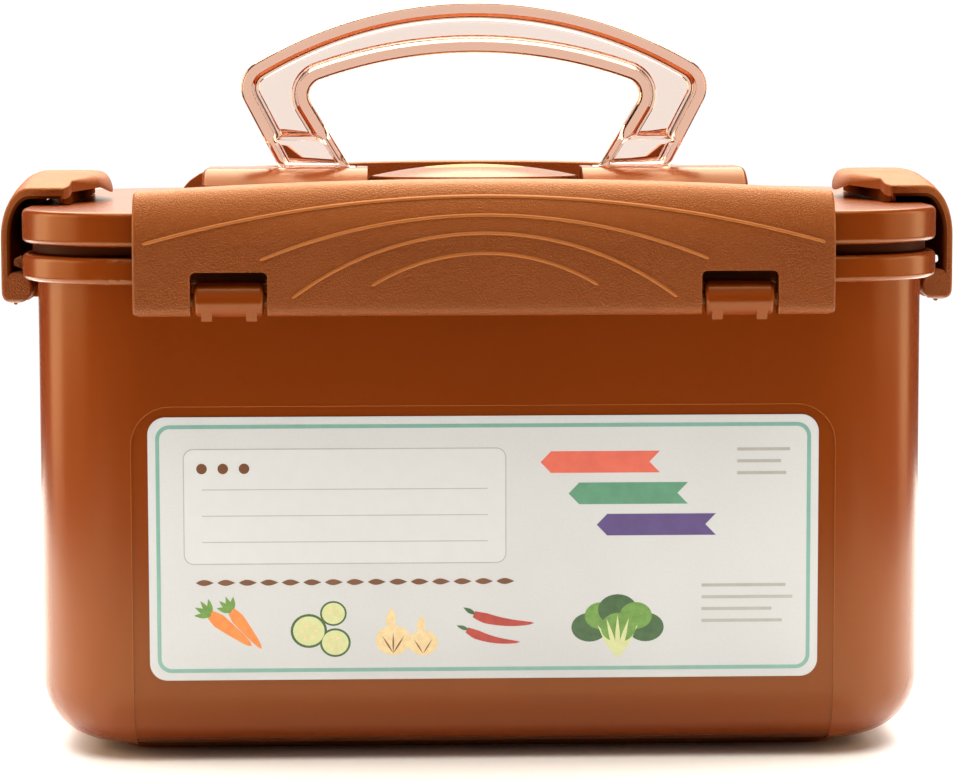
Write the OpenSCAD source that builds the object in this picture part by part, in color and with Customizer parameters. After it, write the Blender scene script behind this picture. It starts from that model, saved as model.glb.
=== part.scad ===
// Kimchi fermentation container: a rounded tub, a lid held by four hinged latches, a folding carry
// handle, and a sliding inner lid that presses on the food. Front is -Y, up is +Z, the base is Z = 0.

/* [Tub] */
// Outer width of the tub
body_w = 257; // [220:1:320]
// Outer depth of the tub
body_d = 190; // [170:1:240]
// Height of the rim's top above the table
body_h = 144.5; // [130:0.5:180]
// Thickness of the tub's walls
wall_t = 2.6; // [2:0.1:3.2]
// Thickness of the tub's floor
floor_t = 3; // [2:0.1:4]
// Radius of the upright corners
corner_r = 33; // [30:0.5:40]
// Radius of the edge between walls and floor
bottom_r = 18; // [12:0.5:20]
// Height of the foot ring
foot_h = 2.5; // [1.5:0.1:4]
// Width of the foot ring
foot_w = 3; // [2:0.1:4]
// Distance of the foot ring from the wall's outer face
foot_inset = 23.5; // [20:0.5:25]
// Height of the rim flange
rim_h = 7.5; // [6:0.1:9]
// How far the rim flange stands out from the wall
rim_out = 4.4; // [3.5:0.1:5.5]
// Rounding of the rim's and the lid's edges
edge_r = 1.6; // [1:0.1:2.2]

/* [Label panel] */
// Width of the sunk panel on the front
panel_w = 199.6; // [196:0.2:206]
// Height of the panel's top edge
panel_top = 102.2; // [101:0.1:110]
// Depth of the sunk panel
panel_depth = 0.6; // [0.4:0.1:1]
// Radius of the panel's upper corners
panel_r = 11; // [6:0.5:16]
// Width of the label
label_w = 190.4; // [160:0.2:194]
// Height of the label
label_h = 75.3; // [60:0.1:77]
// Height of the label's lower edge
label_z = 24; // [21:0.5:25]
// Thickness of the label
label_t = 0.3; // [0.2:0.05:0.5]
// Radius of the label's corners
label_r = 5; // [3:0.5:8]

/* [Lid] */
// Gap between the rim's top and the lid's edge
lid_gap = 3.1; // [2.5:0.1:4]
// Height of the lid's outer band
lid_band_h = 9.7; // [8.5:0.1:12]
// Thickness of the lid's walls and top
lid_t = 2.4; // [2:0.1:3]
// How far the lid's inner collar reaches below the rim's top
collar_reach = 5; // [3:0.1:7]
// Height of the seal between rim and lid
seal_h = 4.5; // [3.5:0.1:5.5]
// Width of the seal between rim and lid
seal_w = 4; // [3:0.1:4.4]

/* [Latches] */
// Gap between the rim and a latch
latch_gap = 5.4; // [5:0.1:7]
// Thickness of a latch's plate
latch_t = 2.7; // [2.2:0.1:3.2]
// Length of the front and rear latches
long_latch = 196; // [180:1:200]
// Length of the side latches
side_latch = 96; // [86:1:110]
// Height of the long latches' crown above the lid
crown_up = 8.9; // [7:0.1:10]
// How much lower the long latches' ends are than their crown
crown_drop = 3.2; // [2:0.1:4]
// Height of the side latches above the lid
side_up = 5.2; // [4.8:0.1:6]
// Radius of a latch's outer shoulder
shoulder_r = 10; // [8:0.5:12]
// How far a latch hooks over the lid's edge
hook_reach = 12; // [10:0.5:14]
// Thickness of a hook's flange
hook_t = 3.4; // [2.6:0.1:4]
// Width of the lip under a hook's tip
lip_w = 3; // [2:0.1:4]
// Height of the hinge line below the rim flange's lower edge
hinge_drop = 3.9; // [3.8:0.1:4.5]
// Distance of the hinge line from the wall
hinge_out = 7.9; // [7.5:0.1:8.5]
// Radius of the latches' hinge bar
pin_r = 2; // [1.6:0.1:2.4]
// Radius of the lugs that hold the hinge bar
lug_r = 4.9; // [4.4:0.1:5.2]
// Width of a lug
lug_w = 19.5; // [15:0.5:22]
// Distance of the front lugs from the middle
long_lug_x = 71.3; // [60:0.1:80]
// Distance of the side lugs from the middle
side_lug_x = 27; // [22:0.5:32]
// Height of the notches for the lugs above the hinge line
notch_up = 7.9; // [6.8:0.1:9]
// Width of a raised bead on the long latches
bead_w = 0.9; // [0.6:0.1:1.4]
// Height of a raised bead
bead_h = 0.4; // [0.2:0.1:0.6]
// Distance of the top bead's ends from a long latch's ends
top_bead_in = 3; // [2:0.1:8]
// Height of the top bead's ends above the hinge line
top_bead_low = 15.8; // [12:0.1:18]
// Height of the top bead's peak above the hinge line
top_bead_high = 28.8; // [26:0.1:30]
// Half the span of the second bead
second_bead_half = 62.5; // [56:0.1:70]
// Height of the second bead's ends above the hinge line
second_bead_low = 11.3; // [10:0.1:14]
// Height of the second bead's peak above the hinge line
second_bead_high = 23.6; // [21:0.1:25]
// Half the span of the third bead
third_bead_half = 53.6; // [48:0.1:56]
// Height of the third bead's ends above the hinge line
third_bead_low = 0.7; // [0.5:0.1:4]
// Height of the third bead's peak above the hinge line
third_bead_high = 18.6; // [16:0.1:20]
// Half the span of the lowest bead
lowest_bead_half = 31.5; // [26:0.1:36]
// Height of the lowest bead's ends above the hinge line
lowest_bead_low = 4.1; // [2:0.1:6]
// Height of the lowest bead's peak above the hinge line
lowest_bead_high = 13; // [11:0.1:15]
// Half the span of the finger hood on a side latch
hood_half = 36; // [30:0.5:40]
// How far the finger hood reaches past the hook's tip
hood_reach = 9; // [6:0.5:11]
// Rise of the finger hood at its tip
hood_rise = 3.6; // [2.5:0.1:4.5]
// Thickness of the finger hood
hood_t = 2.6; // [2:0.1:3]

/* [Handle] */
// Height of the handle's top above the lid
handle_up = 60.2; // [54:0.1:70]
// Height of the grip at its middle
grip_h = 15.5; // [12:0.1:18]
// Thickness of the handle from front to back
handle_t = 12; // [10:0.1:12.6]
// Distance of the outer elbow from the middle
elbow_x = 74.5; // [70:0.1:78]
// How far the outer elbow lies below the top
elbow_down = 23; // [19:0.1:27]
// Distance of the inner elbow from the middle
inner_elbow_x = 53.2; // [51:0.1:55]
// How far the inner elbow lies below the grip
inner_elbow_down = 10.3; // [8:0.1:12]
// Rounding of the outer elbows
elbow_r = 9; // [6:0.5:12]
// Rounding of the inner elbows
inner_elbow_r = 5; // [3:0.5:7]
// Lean of the legs' outer edges from upright, in degrees
leg_lean = 27.5; // [25:0.5:29]
// Lean of the legs' inner edges from upright, in degrees
inner_lean = 31; // [29:0.5:33]
// Width of the raised border round the handle's sunk faces
border_w = 4.4; // [3:0.1:5]
// Thickness of the handle's middle web
web_t = 4; // [3:0.1:6]
// Height above the lid at which the sunk faces end
sunk_from = 19.7; // [16:0.1:24]
// Height of the handle's pivot above the lid
pivot_up = 6.9; // [6.8:0.1:8]
// Radius of the handle's pivot pins
pivot_r = 2; // [1.6:0.1:2.2]
// Radius of the handle's feet about the pivot
foot_r = 4.6; // [4:0.1:5]
// Height of the saddles above the lid
saddle_up = 9.7; // [9.4:0.1:11]
// Inner end of a saddle, from the middle
saddle_in = 33; // [31:0.1:34]
// Outer end of a saddle, from the middle
saddle_end = 83.5; // [78:0.1:90]
// Distance of a saddle's front face from the pivot
saddle_front = 16; // [13:0.5:18]
// Distance of a saddle's rear face from the pivot
saddle_rear = 10; // [8:0.5:12]
// Width of the step in front of a saddle
step_w = 25; // [18:0.5:30]
// Height of the step above the lid
step_up = 5.6; // [4:0.1:7]
// Half the length of the lens-shaped boss between the saddles
boss_half = 32.5; // [28:0.1:32.8]
// Half the width of the boss
boss_wide = 20; // [15:0.5:24]
// Height of the boss above the lid
boss_up = 7.6; // [5:0.1:9]
// Thickness of the bare badge on the boss
badge_t = 0.8; // [0.5:0.1:1.5]

/* [Inner lid] */
// Height of the inner lid's underside, at rest
inner_z = 100; // [60:1:102]
// Thickness of the inner lid's plate and wall
inner_t = 2.4; // [2:0.1:3]
// Height of the inner lid's wall
inner_h = 20; // [16:0.5:26]
// Space for the seal between the inner lid and the tub
inner_gap = 3.4; // [2.8:0.1:4]
// Height of the inner lid's seal
inner_seal_h = 6; // [4:0.1:8]
// Height of the inner seal's seat above the inner lid's underside
inner_seal_up = 5; // [4:0.1:8]
// Length of the pull frame
pull_w = 84; // [70:1:100]
// Depth of the pull frame
pull_d = 44; // [38:0.5:46]
// Width of the pull frame's bars
pull_bar = 7; // [5:0.1:9]
// Thickness of the pull frame
pull_t = 5; // [4:0.1:6]
// Radius of the pull frame's corners
pull_r = 10; // [8:0.5:14]
// Radius of the pull frame's hinge stubs
stub_r = 1.8; // [1.4:0.1:2]
// Width of the ears that hold the stubs
ear_w = 5; // [4:0.1:7]
// Radius of the vent plug's knob
knob_r = 9; // [7:0.1:10]
// Height of the vent plug's knob
knob_h = 6; // [4:0.1:8]
// Radius of the vent plug's stem
stem_r = 3; // [2:0.1:4]
// Wire radius of the vent seal
vent_seal_r = 1; // [0.7:0.1:1.2]

/* [Fits] */
// Running fit of a hinge bar or stub in its hole, on the radius
run_fit = 0.06; // [0.03:0.01:0.1]
// Fit of a fixed pin in its hole, on the radius
pin_fit = 0.02; // [0.01:0.01:0.03]
// Room between faces that slide past each other
slide_fit = 0.3; // [0.25:0.05:0.4]
// Room at each side of a lug in its notch
notch_fit = 1; // [0.6:0.1:1.4]

/* [Hidden] */
$fn = 96;
// Circles of large radius need finer steps than small ones
fine = 720;
// Overlap of pieces that are one solid, and overshoot of cuts
lap = 1;
// Small details of the lugs: rounding of the ends, and the nubs' width, height, depth and place
lug_edge = 1.4;
nub_w = 3;
nub_h = 1;
nub_d = 2.2;
nub_in = 3.5;
// Rounding of the lid's seal and of the saddles, and the badge's distance from the boss's edge
seal_edge = 0.8;
saddle_r = 2;
badge_in = 7;
// Depth of the step in front of a saddle
step_d = 4;
// Steps of a rounded elbow
arch_steps = 8;
// How far the handle's pivot pins reach past its feet
pin_past = 8;
// Rounding of the latches' notches
notch_r = 1.5;
// Sag of the finger hood between its middle and its ends
hood_sag = 6;
// Inner lid: ledges of the seal groove, room under the pull frame, wall of the ears, pads under the frame
ledge_t = 1.6;
pull_clear = 2.6;
ear_wall = 2;
rest_w = 6;
// Vent: height of its seat, the seal ring's distance from the stem, travel, and the stem's retaining ring
vent_boss_h = 2;
vent_ring_out = 2.4;
vent_travel = 5;
clip_h = 2;
clip_out = 1.2;
knob_edge = 1.5;

brown = [0.60, 0.30, 0.12];
dark_brown = [0.50, 0.23, 0.08];
amber = [0.66, 0.40, 0.14];
cream = [0.93, 0.86, 0.66];
pink_clear = [0.95, 0.80, 0.74, 0.6];
white = [0.92, 0.92, 0.88];
silicone = [0.24, 0.09, 0.04];

// Half distances between the centres of the tub's upright corners
axis_x = body_w / 2 - corner_r;
axis_y = body_d / 2 - corner_r;
rim_z = body_h - rim_h;
lid_z = body_h + lid_gap;
lid_top = lid_z + lid_band_h;
lid_under = lid_top - lid_t;
inner_face = corner_r - wall_t;
collar_face = inner_face - 2 * slide_fit;

hinge_z = rim_z - hinge_drop;
latch_out = rim_out + latch_gap + latch_t;
latch_in = latch_out - latch_t;
knuckle_r = latch_out - hinge_out;
hook_tip = rim_out - hook_reach;
lip_z = lid_top + slide_fit;
long_top = lid_top + crown_up;
side_top = lid_top + side_up;
crown_r = (long_latch * long_latch / 4 + crown_drop * crown_drop) / (2 * crown_drop);
// The straight part of a latch's plate ends below its curved shoulder
plate_top = lid_top - shoulder_r;

pivot_z = lid_top + pivot_up;
handle_top = lid_top + handle_up;
saddle_top = lid_top + saddle_up;
elbow_z = handle_top - elbow_down;
inner_elbow_z = handle_top - grip_h - inner_elbow_down;
// The handle's feet, from the legs' edges at the saddle's top and at the pivot
foot_out = elbow_x - (elbow_z - saddle_top) * tan(leg_lean);
foot_in = inner_elbow_x - (inner_elbow_z - pivot_z) * tan(inner_lean);
// The blind end of a saddle's pivot hole
pivot_end = foot_out + pin_past;

inner_wall = inner_face - inner_gap;
plate_z = inner_z + inner_t;
pull_axis_z = plate_z + pull_t / 2 + pull_clear;
pull_axis_y = -(pull_d - pull_bar) / 2;
vent_ring_r = stem_r + vent_ring_out;
knob_z = plate_z + vent_boss_h + slide_fit + 2 * vent_seal_r + pin_fit;
// Bead arcs of the long latches: half span, then end and peak height above the hinge line
bead_arcs = [[long_latch / 2 - top_bead_in, top_bead_low, top_bead_high],
    [second_bead_half, second_bead_low, second_bead_high],
    [third_bead_half, third_bead_low, third_bead_high],
    [lowest_bead_half, lowest_bead_low, lowest_bead_high]];

// A rectangle from its corners
module band(x0, x1, z0, z1) {
    translate([x0, z0])
        square([x1 - x0, z1 - z0]);
}

// A rectangle with all corners rounded
module soft_band(x0, x1, z0, z1, r) {
    band(x0 + r, x1 - r, z0, z1);
    band(x0, x1, z0 + r, z1 - r);
    for (x = [x0 + r, x1 - r], z = [z0 + r, z1 - r])
        translate([x, z])
            circle(r);
}

// A rectangle whose upper right corner is rounded
module shoulder(x0, x1, z0, z1, r) {
    band(x0, x1 - r, z0, z1);
    band(x0, x1, z0, z1 - r);
    intersection() {
        translate([x1 - r, z1 - r])
            circle(r);
        band(x1 - r - lap, x1 + lap, z1 - r - lap, z1 + lap);
    }
}

// Half of a tub's section, from the corner axis outwards, with a rounded lower edge
module half_tub(x1, z0, z1, r) {
    band(0, x1 - r, z0, z1);
    band(0, x1, z0 + r, z1);
    intersection() {
        translate([x1 - r, z0 + r])
            circle(r);
        band(x1 - r - lap, x1 + lap, z0 - lap, z0 + r + lap);
    }
}

// Sweeps a section round the plan of the tub; its x runs outwards from the corner axes
module around_plan() {
    for (turn = [0, 180])
        rotate([0, 0, turn]) {
            translate([axis_x, 0, 0])
                rotate([90, 0, 0])
                    linear_extrude(2 * axis_y, center = true)
                        children();
            rotate([0, 0, 90])
                translate([axis_y, 0, 0])
                    rotate([90, 0, 0])
                        linear_extrude(2 * axis_x, center = true)
                            children();
            translate([axis_x, axis_y, 0])
                rotate_extrude(angle = 90)
                    children();
            translate([-axis_x, axis_y, 0])
                rotate([0, 0, 90])
                    rotate_extrude(angle = 90)
                        children();
        }
}

// The rectangle between the corner axes, as a slab
module middle_slab(z0, z1) {
    translate([-axis_x, -axis_y, z0])
        cube([2 * axis_x, 2 * axis_y, z1 - z0]);
}

// Places pieces on a wall: local x runs along it, local -y outwards from its face
module on_wall(turn) {
    reach = (turn % 180 == 0) ? body_d / 2 : body_w / 2;
    rotate([0, 0, turn])
        translate([0, -reach, 0])
            children();
}

// Extrudes a section along a wall; its x is the distance out from the wall, its y the height
module along_wall(len) {
    rotate([90, 0, -90])
        linear_extrude(len, center = true)
            children();
}

// Extrudes an outline seen from in front of a wall, from depth u0 to u1 out from the wall
module out_of_wall(u0, u1) {
    rotate([90, 0, 0])
        translate([0, 0, u0])
            linear_extrude(u1 - u0)
                children();
}

// A rod along x, centred, with rounded ends
module barrel(len, r, edge) {
    rotate([0, 90, 0])
        rotate_extrude() {
            band(0, r - edge, -len / 2, len / 2);
            band(0, r, edge - len / 2, len / 2 - edge);
            for (end = [-1, 1])
                translate([r - edge, end * (len / 2 - edge)])
                    circle(edge);
        }
}

module rod(len, r) {
    rotate([0, 90, 0])
        cylinder(h = len, r = r, center = true);
}

// A lug that clips over a latch's hinge bar from above, with two grip nubs below
module lug() {
    clip_w = 1.6 * pin_r;
    nub_front = hinge_out + clip_w / 2;
    difference() {
        union() {
            translate([0, -hinge_out, hinge_z])
                barrel(lug_w, lug_r, lug_edge);
            along_wall(lug_w - 2 * lug_edge)
                band(-lap, hinge_out, hinge_z - lug_r + lug_edge, rim_z + lap);
            for (end = [-1, 1])
                translate([end * (lug_w / 2 - nub_in), 0, 0])
                    along_wall(nub_w)
                        band(nub_front, nub_front + nub_d, hinge_z - lug_r - nub_h, hinge_z - lug_r / 2);
        }
        translate([0, -hinge_out, hinge_z])
            rod(lug_w + 2 * lap, pin_r + run_fit);
        along_wall(lug_w + 2 * lap)
            band(hinge_out - clip_w / 2, nub_front, hinge_z - lug_r - nub_h - lap, hinge_z);
    }
}

// The shallow sunk panel, which follows the rounded lower edge down to the base
module panel_recess() {
    intersection() {
        rotate([0, 0, -90])
            translate([axis_y, 0, 0])
                rotate([90, 0, 0])
                    linear_extrude(panel_w + 2 * lap, center = true)
                        difference() {
                            band(corner_r - bottom_r, corner_r + lap, foot_h - lap, panel_top + lap);
                            half_tub(corner_r - panel_depth, foot_h + panel_depth, panel_top + 2 * lap,
                                bottom_r - panel_depth);
                        }
        out_of_wall(0, body_d)
            soft_band(-panel_w / 2, panel_w / 2, -2 * panel_r, panel_top, panel_r);
    }
}

module container_body() {
    foot_x = corner_r - foot_inset;
    color(brown)
        difference() {
            union() {
                around_plan()
                    difference() {
                        union() {
                            half_tub(corner_r, foot_h, body_h, bottom_r);
                            soft_band(inner_face, corner_r + rim_out, rim_z, body_h, edge_r);
                        }
                        half_tub(inner_face, foot_h + floor_t, body_h + lap, bottom_r - wall_t);
                    }
                middle_slab(foot_h, foot_h + floor_t);
                around_plan()
                    band(foot_x - foot_w, foot_x, 0, foot_h + lap);
                for (side = [-1, 1]) {
                    for (turn = [0, 180])
                        on_wall(turn)
                            translate([side * long_lug_x, 0, 0])
                                lug();
                    for (turn = [90, 270])
                        on_wall(turn)
                            translate([side * side_lug_x, 0, 0])
                                lug();
                }
            }
            panel_recess();
        }
}

module front_label() {
    panel_y = body_d / 2 - panel_depth;
    color(white)
        out_of_wall(panel_y, panel_y + label_t)
            soft_band(-label_w / 2, label_w / 2, label_z, label_z + label_h, label_r);
}

// A lens shape in plan, from its half length and half width
module lens(half, wide) {
    r = (half * half + wide * wide) / (2 * wide);
    intersection() {
        translate([0, r - wide])
            circle(r, $fn = fine);
        translate([0, wide - r])
            circle(r, $fn = fine);
    }
}

module outer_lid() {
    skirt_face = corner_r + rim_out - lid_t;
    color(dark_brown) {
        around_plan()
            difference() {
                union() {
                    soft_band(collar_face - lid_t, corner_r + rim_out, lid_z, lid_top, edge_r);
                    band(0, collar_face, lid_under, lid_top);
                    band(collar_face - lid_t, collar_face, body_h - collar_reach, lid_under + lap);
                }
                band(collar_face, skirt_face, body_h - lap, body_h + seal_h);
                band(collar_face - lid_t - lap, collar_face - lid_t, lid_z - lap, lid_under);
            }
        middle_slab(lid_under, lid_top);
        translate([0, 0, lid_top - lap])
            linear_extrude(boss_up + lap)
                lens(boss_half, boss_wide);
    }
}

module lid_seal() {
    groove_mid = (collar_face + corner_r + rim_out - lid_t) / 2;
    color(silicone)
        around_plan()
            soft_band(groove_mid - seal_w / 2, groove_mid + seal_w / 2, body_h, body_h + seal_h, seal_edge);
}

module lid_badge() {
    color(amber)
        translate([0, 0, lid_top + boss_up])
            linear_extrude(badge_t)
                lens(boss_half - badge_in, boss_wide - badge_in / 2);
}

// The right-hand saddle: two ears and a front wall round a slot that is open to the rear and above
module saddle() {
    slot_in = foot_in - slide_fit;
    slot_out = foot_out + slide_fit;
    slot_end = saddle_rear + lap;
    slot_front = foot_r + slide_fit;
    difference() {
        union() {
            intersection() {
                translate([0, 0, lid_top])
                    linear_extrude(saddle_up)
                        soft_band(saddle_in, saddle_end, -saddle_front, saddle_rear, saddle_r);
                out_of_wall(-saddle_rear - lap, saddle_front + lap)
                    soft_band(saddle_in - saddle_r, saddle_end, lid_top - 2 * saddle_r, saddle_top, saddle_r);
            }
            translate([slot_out - step_w, -saddle_front - step_d, lid_top])
                cube([step_w, step_d + saddle_r, step_up]);
        }
        translate([0, 0, lid_top - lap])
            linear_extrude(saddle_up + 2 * lap)
                polygon([[slot_in, -slot_front], [slot_out, -slot_front], [slot_out, 0],
                    [slot_out + slot_end * tan(leg_lean), slot_end], [slot_in, slot_end]]);
        translate([(saddle_in - lap + pivot_end) / 2, 0, pivot_z])
            rod(pivot_end - saddle_in + lap, pivot_r + pin_fit);
    }
}

module right_saddle() {
    color(brown)
        saddle();
}

module left_saddle() {
    color(brown)
        mirror([1, 0, 0])
            saddle();
}

// A pivot pin, from just inside a saddle's inner ear to the end of its blind hole
module pivot_pin() {
    pin_from = saddle_in + slide_fit;
    translate([(pin_from + pivot_end - slide_fit) / 2, 0, pivot_z])
        rod(pivot_end - slide_fit - pin_from, pivot_r);
}

module right_pivot_pin() {
    color("silver")
        pivot_pin();
}

module left_pivot_pin() {
    color("silver")
        mirror([1, 0, 0])
            pivot_pin();
}

function arc_points(centre, r, from, to, steps) =
    [for (i = [0:steps])
        let (turn = from + (to - from) * i / steps)
            centre + r * [cos(turn), sin(turn)]];

// Right half of an arch: a leaning leg, a rounded elbow and an arc that rises to the middle
function arch_half(top, arc_r, elbow, lean, r, low) =
    let (
        along = [sin(lean), cos(lean)],
        inwards = [-cos(lean), sin(lean)],
        hub = [0, top - arc_r],
        from_hub = elbow + inwards * r - hub,
        slope = from_hub * along,
        run = sqrt(slope * slope - from_hub * from_hub + (arc_r - r) * (arc_r - r)) - slope,
        centre = elbow + inwards * r + along * run,
        meet = atan2(centre[1] - hub[1], centre[0]),
        foot = elbow + along * (low - elbow[1]) / cos(lean)
    )
    concat([foot], arc_points(centre, r, -lean, meet, arch_steps),
        arc_points(hub, arc_r, meet, 90, 2 * arch_steps));

module arch(top, arc_r, elbow, lean, r, low) {
    half = arch_half(top, arc_r, elbow, lean, r, low);
    last = len(half) - 1;
    polygon(concat(half, [for (i = [1:last]) [-half[last - i][0], half[last - i][1]]]));
}

// The handle's outline from the height low upwards, drawn in from its edges by inset
module handle_outline(inset, low) {
    outer_r = (elbow_x * elbow_x + elbow_down * elbow_down) / (2 * elbow_down);
    inner_r = (inner_elbow_x * inner_elbow_x + inner_elbow_down * inner_elbow_down) / (2 * inner_elbow_down);
    outer_elbow = [elbow_x, elbow_z] + inset * [-cos(leg_lean), sin(leg_lean)];
    inner_elbow = [inner_elbow_x, inner_elbow_z] + inset * [cos(inner_lean), -sin(inner_lean)];
    difference() {
        arch(handle_top - inset, outer_r - inset, outer_elbow, leg_lean, max(elbow_r - inset, lap), low);
        arch(handle_top - grip_h + inset, inner_r + inset, inner_elbow, inner_lean, inner_elbow_r + inset,
            low - lap);
    }
}

module carry_handle() {
    color(pink_clear)
        difference() {
            union() {
                rotate([90, 0, 0])
                    linear_extrude(handle_t, center = true)
                        handle_outline(0, saddle_top + slide_fit);
                for (side = [0, 1])
                    mirror([side, 0, 0]) {
                        translate([(foot_in + foot_out) / 2, 0, pivot_z])
                            rod(foot_out - foot_in, foot_r);
                        translate([foot_in, -foot_r, pivot_z])
                            cube([foot_out - foot_in, 2 * foot_r, saddle_up - pivot_up + lap]);
                    }
            }
            for (face = [0, 1])
                mirror([0, face, 0])
                    out_of_wall(web_t / 2, handle_t)
                        handle_outline(border_w, lid_top + sunk_from);
            translate([0, 0, pivot_z])
                rod(2 * foot_out + 2 * lap, pivot_r + run_fit);
        }
}

// A latch's lower section: the knuckle round the hinge line and the straight plate above it
module plate_section(proud) {
    translate([hinge_out, hinge_z])
        circle(knuckle_r);
    band(latch_in, latch_out + proud, hinge_z, plate_top + lap);
}

// A latch's upper section: the shoulder, the flange over the lid and the lip under its tip
module hook_section(top, lip) {
    difference() {
        shoulder(hook_tip, latch_out, plate_top, top, shoulder_r);
        shoulder(hook_tip + lip_w, latch_in, plate_top - lap, top - hook_t, shoulder_r - latch_t);
        band(hook_tip - lap, hook_tip + lip_w + lap, plate_top - lap, lip);
    }
}

// The notches that leave room for a wall's two lugs
module notches(lug_x) {
    half = lug_w / 2 + notch_fit;
    for (side = [-1, 1])
        out_of_wall(-lap, latch_out + 2 * lap)
            soft_band(side * lug_x - half, side * lug_x + half, hinge_z - 2 * knuckle_r,
                hinge_z + notch_up, notch_r);
}

// Sweeps a wall section along the long latches' crowned line, up to the latch's ends
module along_crown() {
    turn = asin(long_latch / 2 / crown_r) + 0.1;
    intersection() {
        translate([0, 0, long_top - crown_r])
            rotate([90, 0, 0])
                rotate([0, 0, 90 - turn])
                    rotate_extrude(angle = 2 * turn, $fn = 4 * fine)
                        translate([crown_r - long_top, 0])
                            mirror([1, -1])
                                children();
        translate([-long_latch / 2, -latch_out - 2 * lap, 0])
            cube([long_latch, 2 * latch_out + hook_reach, 2 * long_top]);
    }
}

// A raised bead that rises from end to peak, both above the hinge line
module bead(half, end, peak) {
    r = (half * half + (peak - end) * (peak - end)) / (2 * (peak - end));
    intersection() {
        out_of_wall(latch_in, latch_out + lap)
            intersection() {
                translate([0, hinge_z + peak - r])
                    difference() {
                        circle(r + bead_w / 2, $fn = fine);
                        circle(r - bead_w / 2, $fn = fine);
                    }
                band(-half, half, hinge_z + end - lap, long_top);
            }
        union() {
            along_wall(long_latch)
                plate_section(bead_h);
            along_crown()
                shoulder(hook_tip, latch_out + bead_h, plate_top, long_top + bead_h, shoulder_r + bead_h);
        }
    }
}

module long_latch_piece() {
    difference() {
        union() {
            along_wall(long_latch)
                plate_section(0);
            along_crown()
                hook_section(long_top, lip_z + crown_drop);
            for (arc = bead_arcs)
                bead(arc[0], arc[1], arc[2]);
        }
        notches(long_lug_x);
    }
    translate([0, -hinge_out, hinge_z])
        rod(2 * long_lug_x + lug_w + 4 * notch_fit, pin_r);
}

// The hood over the finger gap of a side latch, which rises towards the middle of the lid
module finger_hood() {
    from_u = latch_out - shoulder_r;
    tip_u = hook_tip - hood_reach;
    reach = from_u - tip_u;
    arc_r = (hood_half * hood_half + hood_sag * hood_sag) / (2 * hood_sag);
    plan_r = (hood_half * hood_half + hood_reach * hood_reach) / (2 * hood_reach);
    intersection() {
        translate([0, -from_u, side_top])
            rotate([atan(hood_rise / reach) + 90, 0, 0])
                translate([0, 0, -reach - 2 * lap])
                    linear_extrude(reach + 2 * lap)
                        intersection() {
                            translate([0, -arc_r])
                                difference() {
                                    circle(arc_r, $fn = fine);
                                    circle(arc_r - hood_t, $fn = fine);
                                }
                            band(-hood_half, hood_half, -2 * hood_sag, lap);
                        }
        translate([0, -tip_u - plan_r, side_top - hook_t])
            cylinder(h = 2 * hook_reach, r = plan_r, $fn = fine);
    }
}

module side_latch_piece() {
    difference() {
        union() {
            along_wall(side_latch) {
                plate_section(0);
                hook_section(side_top, lip_z);
            }
            finger_hood();
        }
        notches(side_lug_x);
    }
    translate([0, -hinge_out, hinge_z])
        rod(2 * side_lug_x + lug_w + 4 * notch_fit, pin_r);
}

module front_latch() {
    color(brown)
        on_wall(0)
            long_latch_piece();
}

module rear_latch() {
    color(brown)
        on_wall(180)
            long_latch_piece();
}

module right_latch() {
    color(brown)
        on_wall(90)
            side_latch_piece();
}

module left_latch() {
    color(brown)
        on_wall(270)
            side_latch_piece();
}

// The inner lid: a tray with a seal groove, two ears for the pull frame and a vent in the middle
module inner_lid() {
    seat = inner_z + inner_seal_up;
    ledge_face = inner_face - 3 * slide_fit;
    ear_x = pull_w / 2 + slide_fit;
    ear_half = stub_r + ear_wall;
    rest_z = pull_axis_z - pull_t / 2 - slide_fit;
    color(amber)
        difference() {
            union() {
                around_plan() {
                    band(0, inner_wall, inner_z, plate_z);
                    band(inner_wall - inner_t, inner_wall, inner_z, inner_z + inner_h);
                    for (z = [seat - ledge_t, seat + inner_seal_h])
                        band(inner_wall - lap, ledge_face, z, z + ledge_t);
                }
                middle_slab(inner_z, plate_z);
                for (side = [0, 1])
                    mirror([side, 0, 0]) {
                        translate([ear_x, pull_axis_y - ear_half, plate_z - lap])
                            cube([ear_w, 2 * ear_half, pull_axis_z + ear_half - plate_z + lap]);
                        translate([pull_w / 4, pull_d / 2 - pull_bar, plate_z - lap])
                            cube([rest_w, pull_bar, rest_z - plate_z + lap]);
                    }
                translate([0, 0, plate_z - lap])
                    cylinder(h = vent_boss_h + lap, r = vent_ring_r + 2 * vent_seal_r);
            }
            translate([0, pull_axis_y, pull_axis_z])
                rod(2 * (ear_x + ear_w + lap), stub_r + run_fit);
            translate([0, 0, inner_z - lap])
                cylinder(h = inner_t + vent_boss_h + 2 * lap, r = stem_r + run_fit);
        }
}

module inner_lid_seal() {
    seat = inner_z + inner_seal_up;
    color(silicone)
        around_plan()
            soft_band(inner_wall + pin_fit, inner_face - slide_fit, seat, seat + inner_seal_h, seal_edge);
}

module inner_pull_frame() {
    in_x = pull_w / 2 - pull_bar;
    in_y = pull_d / 2 - pull_bar;
    color(cream) {
        translate([0, 0, pull_axis_z - pull_t / 2])
            linear_extrude(pull_t)
                difference() {
                    soft_band(-pull_w / 2, pull_w / 2, -pull_d / 2, pull_d / 2, pull_r);
                    soft_band(-in_x, in_x, -in_y, in_y, max(pull_r - pull_bar, lap));
                }
        translate([0, pull_axis_y, pull_axis_z])
            rod(pull_w + 2 * ear_w, stub_r);
    }
}

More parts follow.
